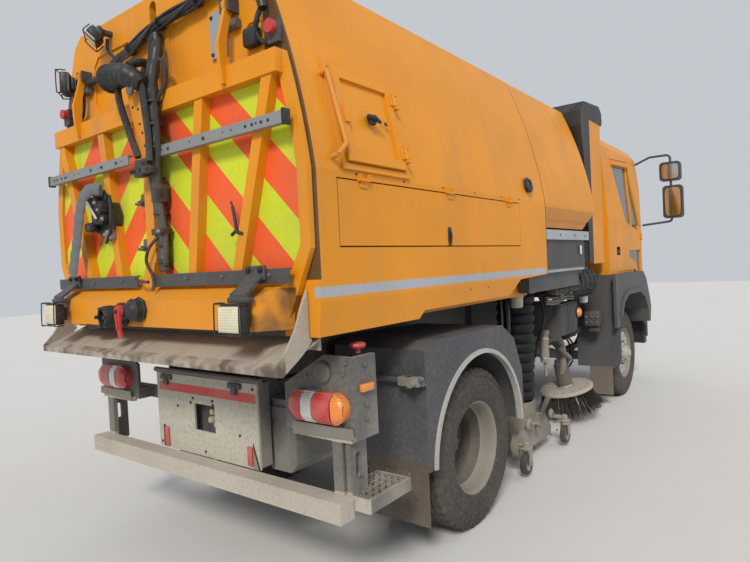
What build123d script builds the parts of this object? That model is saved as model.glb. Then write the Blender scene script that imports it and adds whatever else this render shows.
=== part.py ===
from build123d import *
from math import cos, radians, sin, sqrt
import os

# A two axle suction street sweeper: day cab, tipping hopper with a ribbed tail door,
# side brushes and suction nozzles between the axles.
# Millimetres. X forward, Y to the left, Z up from the ground. The stations below are
# counted from the rear axle, and put() shifts them so that X is zero half way along.

# Overall stations
WHEELBASE = 4030
REAR_OVERHANG = 1725       # to the drain coupling's mouth
TRAY_LIP_X = -1650
FRONT_OVERHANG = 1400
FRONT_END = WHEELBASE + FRONT_OVERHANG
MID = (FRONT_END - REAR_OVERHANG) / 2
RUN_GAP = 0.3          # between a curved face and its seat

# Wheels: 10.00 R22.5 size tyres
TYRE_R = 509
TYRE_W = 275
RIM_R = 288
RIM_WALL = 22
TYRE_SHOULDER = 34
AXLE_Z = TYRE_R
REAR_OUTER_Y = 1150
TWIN_GAP = 45
FRONT_OUTER_Y = 1070
SPINDLE_R = 45
KINGPIN_Y = 800
KINGPIN_R = 25

# Chassis rails, C section
RAIL_Y = 430
RAIL_FLANGE = 75
RAIL_WEB = 10
RAIL_Z0 = 750
RAIL_H = 260
RAIL_REAR = -1150
RAIL_FRONT = FRONT_END - 350
RAIL_Z1 = RAIL_Z0 + RAIL_H
SUB_H = 70
SUB_FRONT = 1210
SUB_Z1 = RAIL_Z1 + SUB_H

# Hopper shell section: half widths and heights
BODY_REAR = -1440
SEAM_X = 1280
SEAM_GAP = 4
FRONT_X = WHEELBASE - 1390
SKIRT_Y = 1150
BELT_Y = 1168
SKIRT_Z = 1405
BELT_Z0 = 1560
BELT_Z1 = 2150
SIDE_MID_Y = 1055
SIDE_TOP_Y = 870
ROOF_Y = 790
ROOF_Z = 3250
SIDE_MID_Z = ROOF_Z - 560
SIDE_TOP_Z = ROOF_Z - 60
WALL = 45
LOWER_WALL = 230
ROOM_Y = BELT_Y - LOWER_WALL
FLOOR_Z0 = 1400
FLOOR_T = 60
HEADER_Z0 = ROOF_Z - 555
HEADER_T = 40

# Tip pivot and ram
TIP_X = -1120
TIP_Z = 1150
TIP_PIN_R = 25
BEARER_Y = 385
BEARER_W = 60
RAM_BASE = (-480, 800)
RAM_EYE = (170, 1326)
RAM_PIN_R = 28
RAM_R = 62
ROD_R = 38
RAM_EYE_R = 45

# Tail door
DOOR_GAP = 6
DOOR_SKIN = 14
DOOR_RIM = 18
DOOR_RIM_W = 58
DOOR_INSET = 10
DOOR_TOP = HEADER_Z0 - 19
DOOR_HINGE_X = -1478
DOOR_HINGE_Z = HEADER_Z0 + 270
HINGE_ARM_Y = 705
RAIL_FACE = -1520
RIB_FACE = -1512
RIB_W = 66
BEAM_FACE = -1600
SPIGOT_X = -1670
SPIGOT_R = 50

# Cab
CAB_REAR = WHEELBASE - 540
CAB_FRONT = FRONT_END - 30
CAB_Y = 1060
CAB_ROOF = 3070
CAB_FLOOR = 1120
CAB_SILL_Z = 1480          # underside of the cab above the wheels
CAB_WALL = 55
CAB_PIVOT_X = FRONT_END - 280
CAB_PIVOT_Z = 800
CAB_PIN_R = 22
CAB_SIDE_END = CAB_FRONT - 320   # where the cab's side turns in to the front
DOOR_FRONT = CAB_FRONT - 360
DOOR_PIN_X = DOOR_FRONT + 4.5    # the cab doors' hinge line
DOOR_PIN_Y = 1072
DOOR_PIN_R = 5
DOOR_HINGES = (1330, 1930)

# Kept for the hand-in's own list of nodes
NODES = {}


def put(name, *solids):
    """Keep one node as one shape of one or more solids."""
    found = []
    for solid in solids:
        found.extend(solid.solids())
    NODES[name] = Pos(-MID, 0, 0) * Compound(children=found)


def block(x0, x1, y0, y1, z0, z1):
    """A box between two corners, whichever of the y values is the lower."""
    return Pos((x0 + x1) / 2, (y0 + y1) / 2, (z0 + z1) / 2) * Box(x1 - x0, abs(y1 - y0), z1 - z0)


def closed(points):
    return make_face(Polyline(*points, close=True))


def along_y(points, y0, y1):
    """A side profile of (x, z) points, from y0 to y1."""
    plane = Plane((0, y0, 0), x_dir=(1, 0, 0), z_dir=(0, -1, 0))
    return extrude(plane * closed(points), amount=-(y1 - y0))


def along_x(face, x0, x1):
    """A (y, z) face, from x0 to x1."""
    plane = Plane((x0, 0, 0), x_dir=(0, 1, 0), z_dir=(1, 0, 0))
    return extrude(plane * face, amount=x1 - x0)


def along_z(points, z0, z1):
    """A plan profile of (x, y) points, from z0 to z1."""
    return extrude(Plane((0, 0, z0), x_dir=(1, 0, 0), z_dir=(0, 0, 1)) * closed(points), amount=z1 - z0)


def bar(start, end, radius):
    """A round bar between two points."""
    way = Vector(*end) - Vector(*start)
    plane = Plane(origin=start, z_dir=way)
    return plane * Cylinder(radius, way.length, align=(Align.CENTER, Align.CENTER, Align.MIN))


def strut(start, end, wide, deep):
    """A square bar between two points, wide in Y and deep across."""
    way = Vector(*end) - Vector(*start)
    plane = Plane(origin=start, x_dir=(0, 1, 0), z_dir=way)
    return plane * Box(wide, deep, way.length, align=(Align.CENTER, Align.CENTER, Align.MIN))


def pipe(points, radius, bend):
    path = FilletPolyline(*points, radius=bend)
    return sweep(Plane(origin=path @ 0, z_dir=path % 0) * Circle(radius), path)


def ahead(*points):
    """Points of (x, z) whose x is counted from the front axle."""
    return [(WHEELBASE + x, z) for x, z in points]


def both(shape):
    return [shape, mirror(shape, about=Plane.XZ)]


def side(shape, name):
    """The right hand twin of a left hand shape."""
    return shape if name == "left" else mirror(shape, about=Plane.XZ)


# Hopper section

def hopper_face(offset=0, bottom=SKIRT_Z):
    """The outer section of the hopper, or one pulled in by offset."""
    half = [(SKIRT_Y - offset, bottom), (BELT_Y - offset, BELT_Z0), (BELT_Y - offset, BELT_Z1)]
    if bottom > BELT_Z0:
        half = [(BELT_Y - offset, bottom), (BELT_Y - offset, BELT_Z1)]
    top = (SIDE_TOP_Y - offset, SIDE_TOP_Z - offset * 0.5)
    middle = (SIDE_MID_Y - offset, SIDE_MID_Z)
    roof = (ROOF_Y - offset, ROOF_Z - offset)
    edges = [Polyline(*half), ThreePointArc(half[-1], middle, top), Line(top, roof)]
    left = [edge.mirror(Plane.YZ) for edge in edges]
    base = Line(half[0], (-half[0][0], bottom))
    ridge = Line(roof, (-roof[0], roof[1]))
    return make_face([*edges, ridge, *left, base])


def hopper_half_width(z):
    """Half width of the outer section at a height on the curved side."""
    if z <= BELT_Z1:
        return BELT_Y
    share = (z - BELT_Z1) / (SIDE_TOP_Z - BELT_Z1)
    chord = BELT_Y + (SIDE_TOP_Y - BELT_Y) * share
    middle = (SIDE_MID_Z - BELT_Z1) / (SIDE_TOP_Z - BELT_Z1)
    bulge = SIDE_MID_Y - (BELT_Y + (SIDE_TOP_Y - BELT_Y) * middle)
    return chord + bulge * share * (1 - share) / (middle * (1 - middle))


# Locker flap and hatch places on the hopper's side
FLAP_X0 = -1295
FLAP_X1 = 755
FLAP_Z0 = 1800
FLAP_Z1 = 2120
FLAP_T = 28
LOCKER_DEPTH = 130
HATCH_X0 = -1222
HATCH_X1 = -740
HATCH_Z0 = BELT_Z1 + 40
HATCH_Z1 = HATCH_Z0 + 470
HATCH_FRAME = 32
GRAB_R = 12
GRAB_RAIL = [(-1268, 2620), (-1240, 2275), (-1312, 2215)]   # x, z along the rail
BOSS_X = 940
BOSS_Z = 2265
SKIRT_STEPS = [  # x, z along the skirt's lower edge, rear to front
    (-1500, SKIRT_Z), (-634, SKIRT_Z), (-584, SKIRT_Z + 43), (552, SKIRT_Z + 45), (727, SKIRT_Z + 151),
    (SEAM_X + 20, SKIRT_Z + 172)]


def hatch_plane():
    """A plane on the sloping side over the hatch, for the left side, x along the truck."""
    low = Vector(0, hopper_half_width(HATCH_Z0), HATCH_Z0)
    high = Vector(0, hopper_half_width(HATCH_Z1), HATCH_Z1)
    up = (high - low).normalized()
    out = Vector(1, 0, 0).cross(up) * -1
    origin = Vector((HATCH_X0 + HATCH_X1) / 2, 0, 0) + (low + high) * 0.5
    return Plane(origin=origin, x_dir=(1, 0, 0), z_dir=out)


def hatch_size():
    run = hopper_half_width(HATCH_Z0) - hopper_half_width(HATCH_Z1)
    return HATCH_X1 - HATCH_X0, sqrt((HATCH_Z1 - HATCH_Z0) ** 2 + run ** 2)


def hatch_hinge(x):
    """The line of the hatch's hinge, at x along it, with z facing out and y towards the panel."""
    wide, high = hatch_size()
    flat = hatch_plane()
    origin = flat.origin + flat.x_dir * (wide / 2 - 1) + flat.z_dir * 40 + flat.y_dir * x
    return Plane(origin=origin, x_dir=flat.y_dir, z_dir=flat.z_dir)


FLAP_HANDLE_X = -295


def flap_hinge(x):
    return Plane(origin=(x, BELT_Y + 10, FLAP_Z1 - 2), x_dir=(1, 0, 0), z_dir=(0, 1, 0))


HINGE_PIN_R = 4


def hinge_leaf():
    """The moving half of a hinge: a bored knuckle on a plate."""
    seat = Rotation(0, 90, 0)
    leaf = seat * Cylinder(9, 56) + Pos(0, 17, -6.5) * Box(56, 34, 7)
    return leaf - seat * Cylinder(HINGE_PIN_R + RUN_GAP, 60)


def hinge_lugs(depth):
    """The fixed half: a pin between two lugs that go down to depth."""
    seat = Rotation(0, 90, 0)
    lugs = seat * Cylinder(HINGE_PIN_R, 88)
    for x in (-36.5, 36.5):
        lugs += Pos(x, -13, (6 - depth) / 2) * Box(15, 34, 6 + depth)
    return lugs


FLAP_HINGES = (-1100, -270, 560)
HATCH_HINGES = (-150, 150)


def side_fittings():
    """A round hand rail on two feet and a round boss, both seated on the sloping side."""
    points = [(x, hopper_half_width(z) + 42, z) for x, z in GRAB_RAIL]
    rail = bar(points[0], points[1], GRAB_R) + bar(points[1], points[2], GRAB_R)
    for x, y, z in (points[0], points[2]):
        rail += bar((x, y - 60, z - 12), (x, y, z), GRAB_R)
    boss_y = hopper_half_width(BOSS_Z)
    boss = bar((BOSS_X, boss_y - 25, BOSS_Z), (BOSS_X, boss_y + 12, BOSS_Z), 55)
    hopper = along_x(hopper_face(), BODY_REAR, SEAM_X)
    return [rail - hopper, boss - hopper]


def pressing(y0, y1, z0, z1, cut):
    """A panel outline with its corners cut."""
    return closed([(y0 + cut, z0), (y1 - cut, z0), (y1, z0 + cut), (y1, z1 - cut), (y1 - cut, z1),
                   (y0 + cut, z1), (y0, z1 - cut), (y0, z0 + cut)])


HEADER_PRESSINGS = [  # y0, y1, height above the header's foot, height below the roof, corner cut
    (190, 640, 50, 180, 50), (-500, -160, 50, 180, 50), (770, 900, 45, 380, 30), (-900, -770, 45, 380, 30)]
PRESSING_DEPTH = 10
HEADER_SLOTS = [(-25, 107), (-25, 323)]     # y, distance below the roof
SLOT_LONG = 150
SLOT_WIDE = 62


def hopper_body():
    shell = along_x(hopper_face(), BODY_REAR, SEAM_X)
    room_face = hopper_face(WALL, FLOOR_Z0 + FLOOR_T)
    room = along_x(room_face, BODY_REAR - 1, SEAM_X - WALL)
    for y0, y1 in ((ROOM_Y, BELT_Y), (-BELT_Y, -ROOM_Y)):
        room -= block(BODY_REAR - 2, SEAM_X, y0, y1, FLOOR_Z0, BELT_Z1 - 60)
    shell -= room
    # Room for the floor, the skirt's stepped lower edge and the space behind the skirt
    shell -= block(BODY_REAR - 1, SEAM_X - WALL, -ROOM_Y, ROOM_Y, 1300, FLOOR_Z0 + FLOOR_T)
    skirt_t = 12
    for flip in ("left", "right"):
        cut = [(-1500, 1300), *SKIRT_STEPS, (1300, 1300)]
        shell -= side(along_y(cut, ROOM_Y + WALL, 1300), flip)
        shell -= side(block(BODY_REAR + 80, SEAM_X - 12, ROOM_Y + WALL, SKIRT_Y - skirt_t, 1300, 1590), flip)
    # The fixed header above the tail door
    header = along_x(hopper_face(WALL / 2), BODY_REAR, BODY_REAR + HEADER_T)
    shell += header & block(BODY_REAR, BODY_REAR + HEADER_T, -1300, 1300, HEADER_Z0, ROOF_Z)
    for y0, y1, above, below, cut in HEADER_PRESSINGS:
        panel = pressing(y0, y1, HEADER_Z0 + above, ROOF_Z - below, cut)
        shell -= along_x(panel, BODY_REAR - 5, BODY_REAR + PRESSING_DEPTH)
    for y, below in HEADER_SLOTS:
        oval = Pos(y, ROOF_Z - below) * Rotation(0, 0, 90) * SlotOverall(SLOT_LONG, SLOT_WIDE)
        shell -= along_x(oval, BODY_REAR - 5, BODY_REAR + HEADER_T + 5)
    # Lower corner plates outside the door's chamfer
    for y0, y1 in ((ROOM_Y, BELT_Y - 20), (-BELT_Y + 20, -ROOM_Y)):
        shell += block(BODY_REAR, BODY_REAR + 30, y0, y1, SKIRT_Z + 10, 1800)
    for flip in ("left", "right"):
        pocket = block(FLAP_X0, FLAP_X1, BELT_Y - LOCKER_DEPTH, BELT_Y + 5, FLAP_Z0, FLAP_Z1)
        wide, high = hatch_size()
        window = hatch_plane() * Box(wide - 110, high - 110, 4 * WALL)
        seat = hatch_plane() * (Pos(0, 0, 6) * Box(wide, high, 36))
        shell -= side(pocket, flip)
        frame = hatch_plane() * (Pos(0, 0, -4) * Box(wide + 2 * HATCH_FRAME, high + 2 * HATCH_FRAME, 32))
        shell += side(frame, flip)
        shell -= side(window, flip)
        shell -= side(seat, flip)
        for x in FLAP_HINGES:
            shell += side(flap_hinge(x) * hinge_lugs(16), flip)
        for x in HATCH_HINGES:
            shell += side(hatch_hinge(x) * hinge_lugs(50), flip)
    return shell


def hopper_floor():
    """The floor between the side walls, with the tip bearers and the ram's ears under it."""
    floor = block(BODY_REAR, SEAM_X - WALL, -ROOM_Y, ROOM_Y, SKIRT_Z, FLOOR_Z0 + FLOOR_T)
    for y in (BEARER_Y, -BEARER_Y):
        end = SEAM_X - WALL
        bearer = [(TIP_X, TIP_Z - 55), (TIP_X + 400, 1095), (end, 1095), (end, FLOOR_Z0 + 55),
                  (TIP_X - 55, FLOOR_Z0 + 55), (TIP_X - 55, TIP_Z)]
        beam = along_y(bearer, y - BEARER_W / 2, y + BEARER_W / 2)
        beam += bar((TIP_X, y - BEARER_W / 2, TIP_Z), (TIP_X, y + BEARER_W / 2, TIP_Z), 55)
        beam -= bar((TIP_X, y - BEARER_W, TIP_Z), (TIP_X, y + BEARER_W, TIP_Z), TIP_PIN_R + RUN_GAP)
        floor += beam
    for y in (75, -75):
        floor += block(RAM_EYE[0] - 60, RAM_EYE[0] + 60, y - 12, y + 12, RAM_EYE[1] - 50, FLOOR_Z0 + 55)
    return floor


def hopper_front():
    """The shorter front section, with its lower return sloping in."""
    x0 = SEAM_X + SEAM_GAP
    outer = along_x(hopper_face(3, 1965), x0, FRONT_X)
    inner = along_x(hopper_face(3 + WALL, 1965 + WALL), x0 + WALL, FRONT_X - WALL)
    shell = outer - inner
    for flip in ("left", "right"):
        wedge = along_x(closed([(BELT_Y + 10, BELT_Z1), (BELT_Y + 10, 1900), (1040, 1900), (1085, 1965)]),
                        x0 - 5, FRONT_X + 5)
        shell -= side(wedge, flip)
        patch = along_x(closed([(BELT_Y - 8, BELT_Z1), (1085, 1967), (1035, 1967), (BELT_Y - 70, BELT_Z1)]),
                        x0, FRONT_X)
        shell += side(patch, flip)
    nose = [(FRONT_X + 5, BELT_Z1), (FRONT_X + 5, 1900), (2400, 1900), (2470, 1965), (FRONT_X - 3, BELT_Z1)]
    shell -= along_y(nose, -1300, 1300)
    chin = [(FRONT_X - 3, BELT_Z1), (2470, 1967), (2410, 1967), (FRONT_X - WALL - 10, BELT_Z1 + 20)]
    shell += along_y(chin, -1060, 1060)
    # Straps that carry the section on the main shell
    for y in (0, 700, -700):
        shell += block(SEAM_X, x0 + 1, y - 60, y + 60, 2300, 2900)
    return shell


# Discharge apron under the tail door
TRAY_TOP_X = -1370
TRAY_TOP_Z = 1396
TRAY_LIP_Z = 1290
TRAY_Y = 1085
TRAY_T = 12


def discharge_tray():
    plate = along_y([(TRAY_TOP_X, TRAY_TOP_Z), (TRAY_LIP_X, TRAY_LIP_Z), (TRAY_LIP_X, TRAY_LIP_Z - 28),
                     (TRAY_LIP_X + TRAY_T, TRAY_LIP_Z - 28), (TRAY_LIP_X + TRAY_T, TRAY_LIP_Z - 6),
                     (TRAY_TOP_X, TRAY_TOP_Z - TRAY_T)], -TRAY_Y - 6, TRAY_Y + 6)
    plate += block(TRAY_TOP_X - 6, TRAY_TOP_X + 6, -TRAY_Y, TRAY_Y, TRAY_TOP_Z - 60, TRAY_TOP_Z)
    rear = TRAY_LIP_X
    cheek = [(rear, TRAY_LIP_Z + 12), (rear, TRAY_LIP_Z - 28), (rear + 30, TRAY_LIP_Z - 34),
             (-1500, 1330), (BODY_REAR + 4, 1385), (BODY_REAR + 4, 1400), (BODY_REAR - 8, 1400),
             (BODY_REAR - 8, 1615), (-1480, 1560), (-1530, 1450), (-1590, 1365)]
    for y0 in (TRAY_Y, -TRAY_Y - 12):
        plate += along_y(cheek, y0, y0 + 12)
    for y in (-940, 0, 940):
        plate += block(TRAY_TOP_X - 6, TRAY_TOP_X + 40, y - 30, y + 30, TRAY_TOP_Z - 60, SKIRT_Z)
    return plate


# Tail door

def door_outline(inset, bottom, chamfer_z, foot_y, top=DOOR_TOP):
    """The tail door's face: curved sides, chamfered lower corners."""
    low = (BELT_Y - inset, chamfer_z)
    knee = (BELT_Y - inset, BELT_Z1)
    mid_z = (BELT_Z1 + top) / 2
    high = (hopper_half_width(top) - inset, top)
    mid = (hopper_half_width(mid_z) - inset, mid_z)
    edges = [Line((foot_y, bottom), low), Line(low, knee), ThreePointArc(knee, mid, high)]
    twins = [edge.mirror(Plane.YZ) for edge in edges]
    return make_face([*edges, *twins, Line((foot_y, bottom), (-foot_y, bottom)), Line(high, (-high[0], top))])


DOOR_BOTTOM = 1436
DOOR_FOOT_Y = 985
CHAMFER_Z = 1800
RIB_TOP = DOOR_TOP - 76
RIB_LOW = 1690
RIBS = [(985, 700), (485, 350), (-485, -350), (-985, -700)]      # top y, bottom y


def tail_door():
    skin_x = BODY_REAR - DOOR_GAP
    face_x = skin_x - DOOR_SKIN
    rim_x = face_x - DOOR_RIM
    door = along_x(door_outline(DOOR_INSET, DOOR_BOTTOM, CHAMFER_Z, DOOR_FOOT_Y), face_x, skin_x)
    rim = along_x(door_outline(DOOR_INSET, DOOR_BOTTOM, CHAMFER_Z, DOOR_FOOT_Y), rim_x, face_x)
    inner = door_outline(DOOR_INSET + DOOR_RIM_W, DOOR_BOTTOM + 40, CHAMFER_Z + 20, DOOR_FOOT_Y - 75,
                         DOOR_TOP - 60)
    rim -= along_x(inner, rim_x - 1, face_x + 1)
    door += rim
    # Top box rail
    half = hopper_half_width(DOOR_TOP) - 12
    door += block(RAIL_FACE, face_x, -half, half, DOOR_TOP - 102, DOOR_TOP)
    # Raking ribs
    for top_y, low_y in RIBS:
        outline = closed([(top_y - RIB_W / 2, RIB_TOP), (top_y + RIB_W / 2, RIB_TOP),
                          (low_y + RIB_W / 2, RIB_LOW), (low_y - RIB_W / 2, RIB_LOW)])
        door += along_x(outline, RIB_FACE, face_x + 2)
    # Centre post with its splayed foot
    door += block(RIB_FACE, face_x + 2, -35, 45, 1780, RIB_TOP)
    foot = along_x(closed([(-35, 1785), (45, 1785), (125, 1600), (20, 1600)]), RIB_FACE - 10, face_x + 2)
    door += foot
    # Lower beam, sloping on top, cut back at its ends
    beam = along_y([(BEAM_FACE, 1442), (BEAM_FACE, 1586), (face_x, 1664), (face_x, 1442)], -1040, 1040)
    for flip in ("left", "right"):
        end = along_z([(BEAM_FACE - 5, 905), (BEAM_FACE, 905), (face_x + 5, 1030), (face_x + 5, 1100),
                       (BEAM_FACE - 5, 1100)], 1400, 1700)
        beam -= side(end, flip)
    door += beam
    # Curved hinge arms down to the top rail
    for y in (HINGE_ARM_Y, -HINGE_ARM_Y):
        bend, waist, foot = DOOR_HINGE_Z - 105, DOOR_HINGE_Z - 185, DOOR_TOP + 24
        arm = [(DOOR_HINGE_X + 24, DOOR_HINGE_Z), (DOOR_HINGE_X - 24, DOOR_HINGE_Z), (-1530, bend),
               (-1555, waist), (-1552, foot), (-1540, DOOR_TOP - 86), (RAIL_FACE, DOOR_TOP - 86),
               (RAIL_FACE, DOOR_TOP - 2), (-1508, foot), (-1508, waist), (-1490, bend)]
        piece = along_y(arm, y - 11, y + 11)
        piece += bar((DOOR_HINGE_X, y - 11, DOOR_HINGE_Z), (DOOR_HINGE_X, y + 11, DOOR_HINGE_Z), 34)
        piece -= bar((DOOR_HINGE_X, y - 20, DOOR_HINGE_Z), (DOOR_HINGE_X, y + 20, DOOR_HINGE_Z), 14 + RUN_GAP)
        door += piece
    return door


MID_RAIL_Z = DOOR_TOP - 340
STEEL_RAILS = [  # half length, z0, z1, front x, back x
    (1100, MID_RAIL_Z, MID_RAIL_Z + 54, RIB_FACE - 34, RIB_FACE), (1075, 1652, 1718, RIB_FACE - 20, RIB_FACE)]
RAIL_HOLES = (200, 440, 700, 760, 860, 930)       # y of the small holes in the middle rail
RAIL_HOLE_R = 7


def tail_door_rails():
    """Galvanised angle rails across the ribs, the lower one cut away over the beam."""
    rails = []
    for half, z0, z1, x0, x1 in STEEL_RAILS:
        rail = block(x0, x1, -half, half, z0, z1) - block(x0 + 7, x1 + 1, -half - 1, half + 1, z0 + 7, z1 - 7)
        rail -= block(x0 - 1, x1 + 1, -40, 130, z0 - 1, z1 + 1)
        if z0 == MID_RAIL_Z:
            for y in RAIL_HOLES:
                for sign in (1, -1):
                    hole = Pos(sign * y, z0 + 27) * RegularPolygon(RAIL_HOLE_R, 6)
                    rail -= along_x(hole, x0 - 1, x0 + 8)
        rails.append(rail)
    return rails


def work_lamp(origin, facing, wide, high):
    """A work lamp that looks along facing: a rounded body, a proud lens and a stub behind."""
    across = Vector(0, 0, 1).cross(Vector(*facing))
    body = extrude(RectangleRounded(wide, high, 14), amount=48)
    body += Pos(0, 0, 48) * extrude(RectangleRounded(wide - 20, high - 20, 10), amount=7)
    body += Pos(0, 0, -16) * Box(wide * 0.5, high * 0.5, 34)
    return Plane(origin=origin, x_dir=across, z_dir=facing) * body


def tail_door_fittings():
    """Centre lever with its black boot, work lamps, drain valve and hose hook."""
    parts = []
    top = DOOR_TOP
    lever = along_y([(-1600, top + 24), (-1560, top + 84), (-1555, top - 76), (RAIL_FACE, top - 76),
                     (RAIL_FACE, top - 102), (RIB_FACE, top - 102), (RIB_FACE, top - 376),
                     (-1565, top - 376)], -20, 40)
    boot = bar((-1615, -55, top + 159), (-1615, 75, top + 159), 78)
    boot += bar((-1600, 10, top + 14), (-1615, 10, top + 159), 62)
    parts.append(lever + boot)
    for y in (860, -860):
        lamp = work_lamp((BEAM_FACE - 44, y, 1503), (-1, 0, -0.12), 156, 126)
        lamp += along_y([(BEAM_FACE - 50, 1540), (BEAM_FACE - 50, 1606), (RIB_FACE - 20, 1712),
                         (RIB_FACE - 20, 1690), (BEAM_FACE - 26, 1590), (BEAM_FACE - 26, 1540)], y - 50, y + 50)
        parts.append(lamp)
    for sign in (1, -1):
        parts.append(block(RIB_FACE - 38, RIB_FACE + 4, sign * 1100, sign * 1116, MID_RAIL_Z - 8, MID_RAIL_Z + 62))
    latch = bar((-1482, -634, 1914), (-1482, -700, 1873), 9)
    parts.append(latch + bar((BODY_REAR - DOOR_GAP - DOOR_SKIN, -667, 1893), (-1482, -667, 1893), 9))
    valve = bar((BEAM_FACE, 110, 1520), (BEAM_FACE - 34, 110, 1520), 62)
    valve += bar((BEAM_FACE - 34, 110, 1520), (BEAM_FACE - 60, 110, 1520), 40)
    valve += bar((BEAM_FACE - 38, 95, 1518), (BEAM_FACE - 38, 240, 1508), 30)
    valve += bar((BEAM_FACE - 12, 235, 1505), (SPIGOT_X, 235, 1505), 58)
    valve += bar((SPIGOT_X, 235, 1505), (-REAR_OVERHANG, 235, 1505), SPIGOT_R)
    parts.append(valve)
    face_x = BODY_REAR - DOOR_GAP - DOOR_SKIN
    hook = block(face_x - 60, face_x, 640, 760, 1990, 2240)
    hook += block(face_x - 90, face_x - 60, 700, 800, 2150, 2240)
    hook += bar((RIB_FACE - 36, 770, 2220), (RIB_FACE - 36, 900, 1760), 34)
    parts.append(hook)
    return parts


# Fittings on the fixed header

def header_fittings():
    x = BODY_REAR
    parts = []
    for y in (HINGE_ARM_Y, -HINGE_ARM_Y):
        lug = block(DOOR_HINGE_X - 26, x, y - 34, y - 18, DOOR_HINGE_Z - 32, DOOR_HINGE_Z + 32)
        lug += block(DOOR_HINGE_X - 26, x, y + 18, y + 34, DOOR_HINGE_Z - 32, DOOR_HINGE_Z + 32)
        lug += bar((DOOR_HINGE_X, y - 34, DOOR_HINGE_Z), (DOOR_HINGE_X, y + 34, DOOR_HINGE_Z), 14)
        parts.append(lug)
    foot = HEADER_Z0
    parts.append(block(x - 14, x, -650, -530, foot + 70, foot + 290))         # blank grey plate
    side_lamp = work_lamp((x - 64, 815, foot + 247), (-0.8, 0.6, 0), 120, 124)
    parts.append(side_lamp + block(x - 46, x, 775, 812, foot + 230, foot + 264))
    top_lamp = work_lamp((x - 72, 430, ROOF_Z - 100), (-0.6, 0.35, -0.7), 150, 70)
    parts.append(top_lamp + block(x - 66, x, 400, 440, ROOF_Z - 100, ROOF_Z - 78))
    for y in (-985, 985):
        marker = block(x - 26, x, y - 34, y + 34, foot + 30, foot + 130)
        parts.append(marker + bar((x - 26, y, foot + 98), (x - 54, y, foot + 98), 30))
    parts.append(bar((x, 10, DOOR_TOP + 159), (x - 60, 10, DOOR_TOP + 159), 22))      # ram rod stub
    for fitting in side_fittings():
        parts += both(fitting)
    return parts


CABLE_RUN = [  # y and distance below the roof, from the left lamp to the right edge
    (655, 325), (480, 335), (300, 275), (90, 240), (-110, 190), (-330, 195), (-560, 160),
    (-800, 145), (-905, 240), (-935, 360)]


def cable_bundle():
    points = [(BODY_REAR - 30, y, ROOF_Z - below) for y, below in CABLE_RUN]
    return pipe(points, 30, 90)


# Chassis

def chassis_frame():
    frame = []
    for sign in (1, -1):
        outer, inner = sign * RAIL_Y, sign * (RAIL_Y - RAIL_FLANGE)
        web = sign * (RAIL_Y - RAIL_WEB)
        section = [(outer, RAIL_Z0), (inner, RAIL_Z0), (inner, RAIL_Z0 + RAIL_WEB), (web, RAIL_Z0 + RAIL_WEB),
                   (web, RAIL_Z1 - RAIL_WEB), (inner, RAIL_Z1 - RAIL_WEB), (inner, RAIL_Z1), (outer, RAIL_Z1)]
        frame.append(along_x(closed(section), RAIL_REAR, RAIL_FRONT))
        frame.append(block(TIP_X + 70, SUB_FRONT, sign * (RAIL_Y - 80), sign * RAIL_Y, RAIL_Z1, SUB_Z1))
    for x in (-1110, -780, 720, 1500, 2650, RAIL_FRONT - 60):
        frame.append(block(x - 35, x + 35, -RAIL_Y + RAIL_WEB, RAIL_Y - RAIL_WEB, RAIL_Z0 + 30, RAIL_Z1 - 30))
    ram_x, ram_z = RAM_BASE
    frame.append(bar((ram_x, -RAIL_Y + RAIL_WEB, ram_z), (ram_x, RAIL_Y - RAIL_WEB, ram_z), RAM_PIN_R))
    body = frame[0]
    for piece in frame[1:]:
        body += piece
    return body


def tip_bearing():
    """Two lugs with the tip pin between them, on the rail's end."""
    low, high = BEARER_Y - BEARER_W / 2 - 32, BEARER_Y + BEARER_W / 2 + 8
    body = block(TIP_X - 50, TIP_X + 60, low, high + 24, RAIL_Z1, RAIL_Z1 + 20)
    for y in (low, high):
        body += block(TIP_X - 50, TIP_X + 60, y, y + 24, RAIL_Z1, TIP_Z + 50)
    return body + bar((TIP_X, low, TIP_Z), (TIP_X, high + 24, TIP_Z), TIP_PIN_R)


def cab_post():
    return block(CAB_REAR + 70, CAB_REAR + 150, RAIL_Y - RAIL_FLANGE, RAIL_Y, RAIL_Z1, CAB_SILL_Z)


def frame_brackets():
    """What stands on the rails: tip bearings, cab posts, and the mounts of the sweep gear."""
    found = []
    for bracket in (tip_bearing(), cab_post(), brush_mount(), nozzle_mount()):
        found += both(bracket)
    return found


SPRING_Y = 385
SPRING_W = 76
SHAFT_END = (WHEELBASE - 1430, 0, 660)


def leaf_spring(x, y, seat_z, half):
    """A leaf pack with its hanger brackets, sitting on the axle."""
    top = RAIL_Z0
    low = [(x - half, top - 60), (x - half / 2, seat_z + 24), (x, seat_z), (x + half / 2, seat_z + 24),
           (x + half, top - 60), (x + half, top - 30), (x + half / 2, seat_z + 66), (x, seat_z + 62),
           (x - half / 2, seat_z + 66), (x - half, top - 30)]
    pack = along_y(low, y - SPRING_W / 2, y + SPRING_W / 2)
    for end in (x - half, x + half):
        pack += block(end - 35, end + 35, y - SPRING_W / 2, y + SPRING_W / 2, top - 75, top)
    return pack


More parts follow.
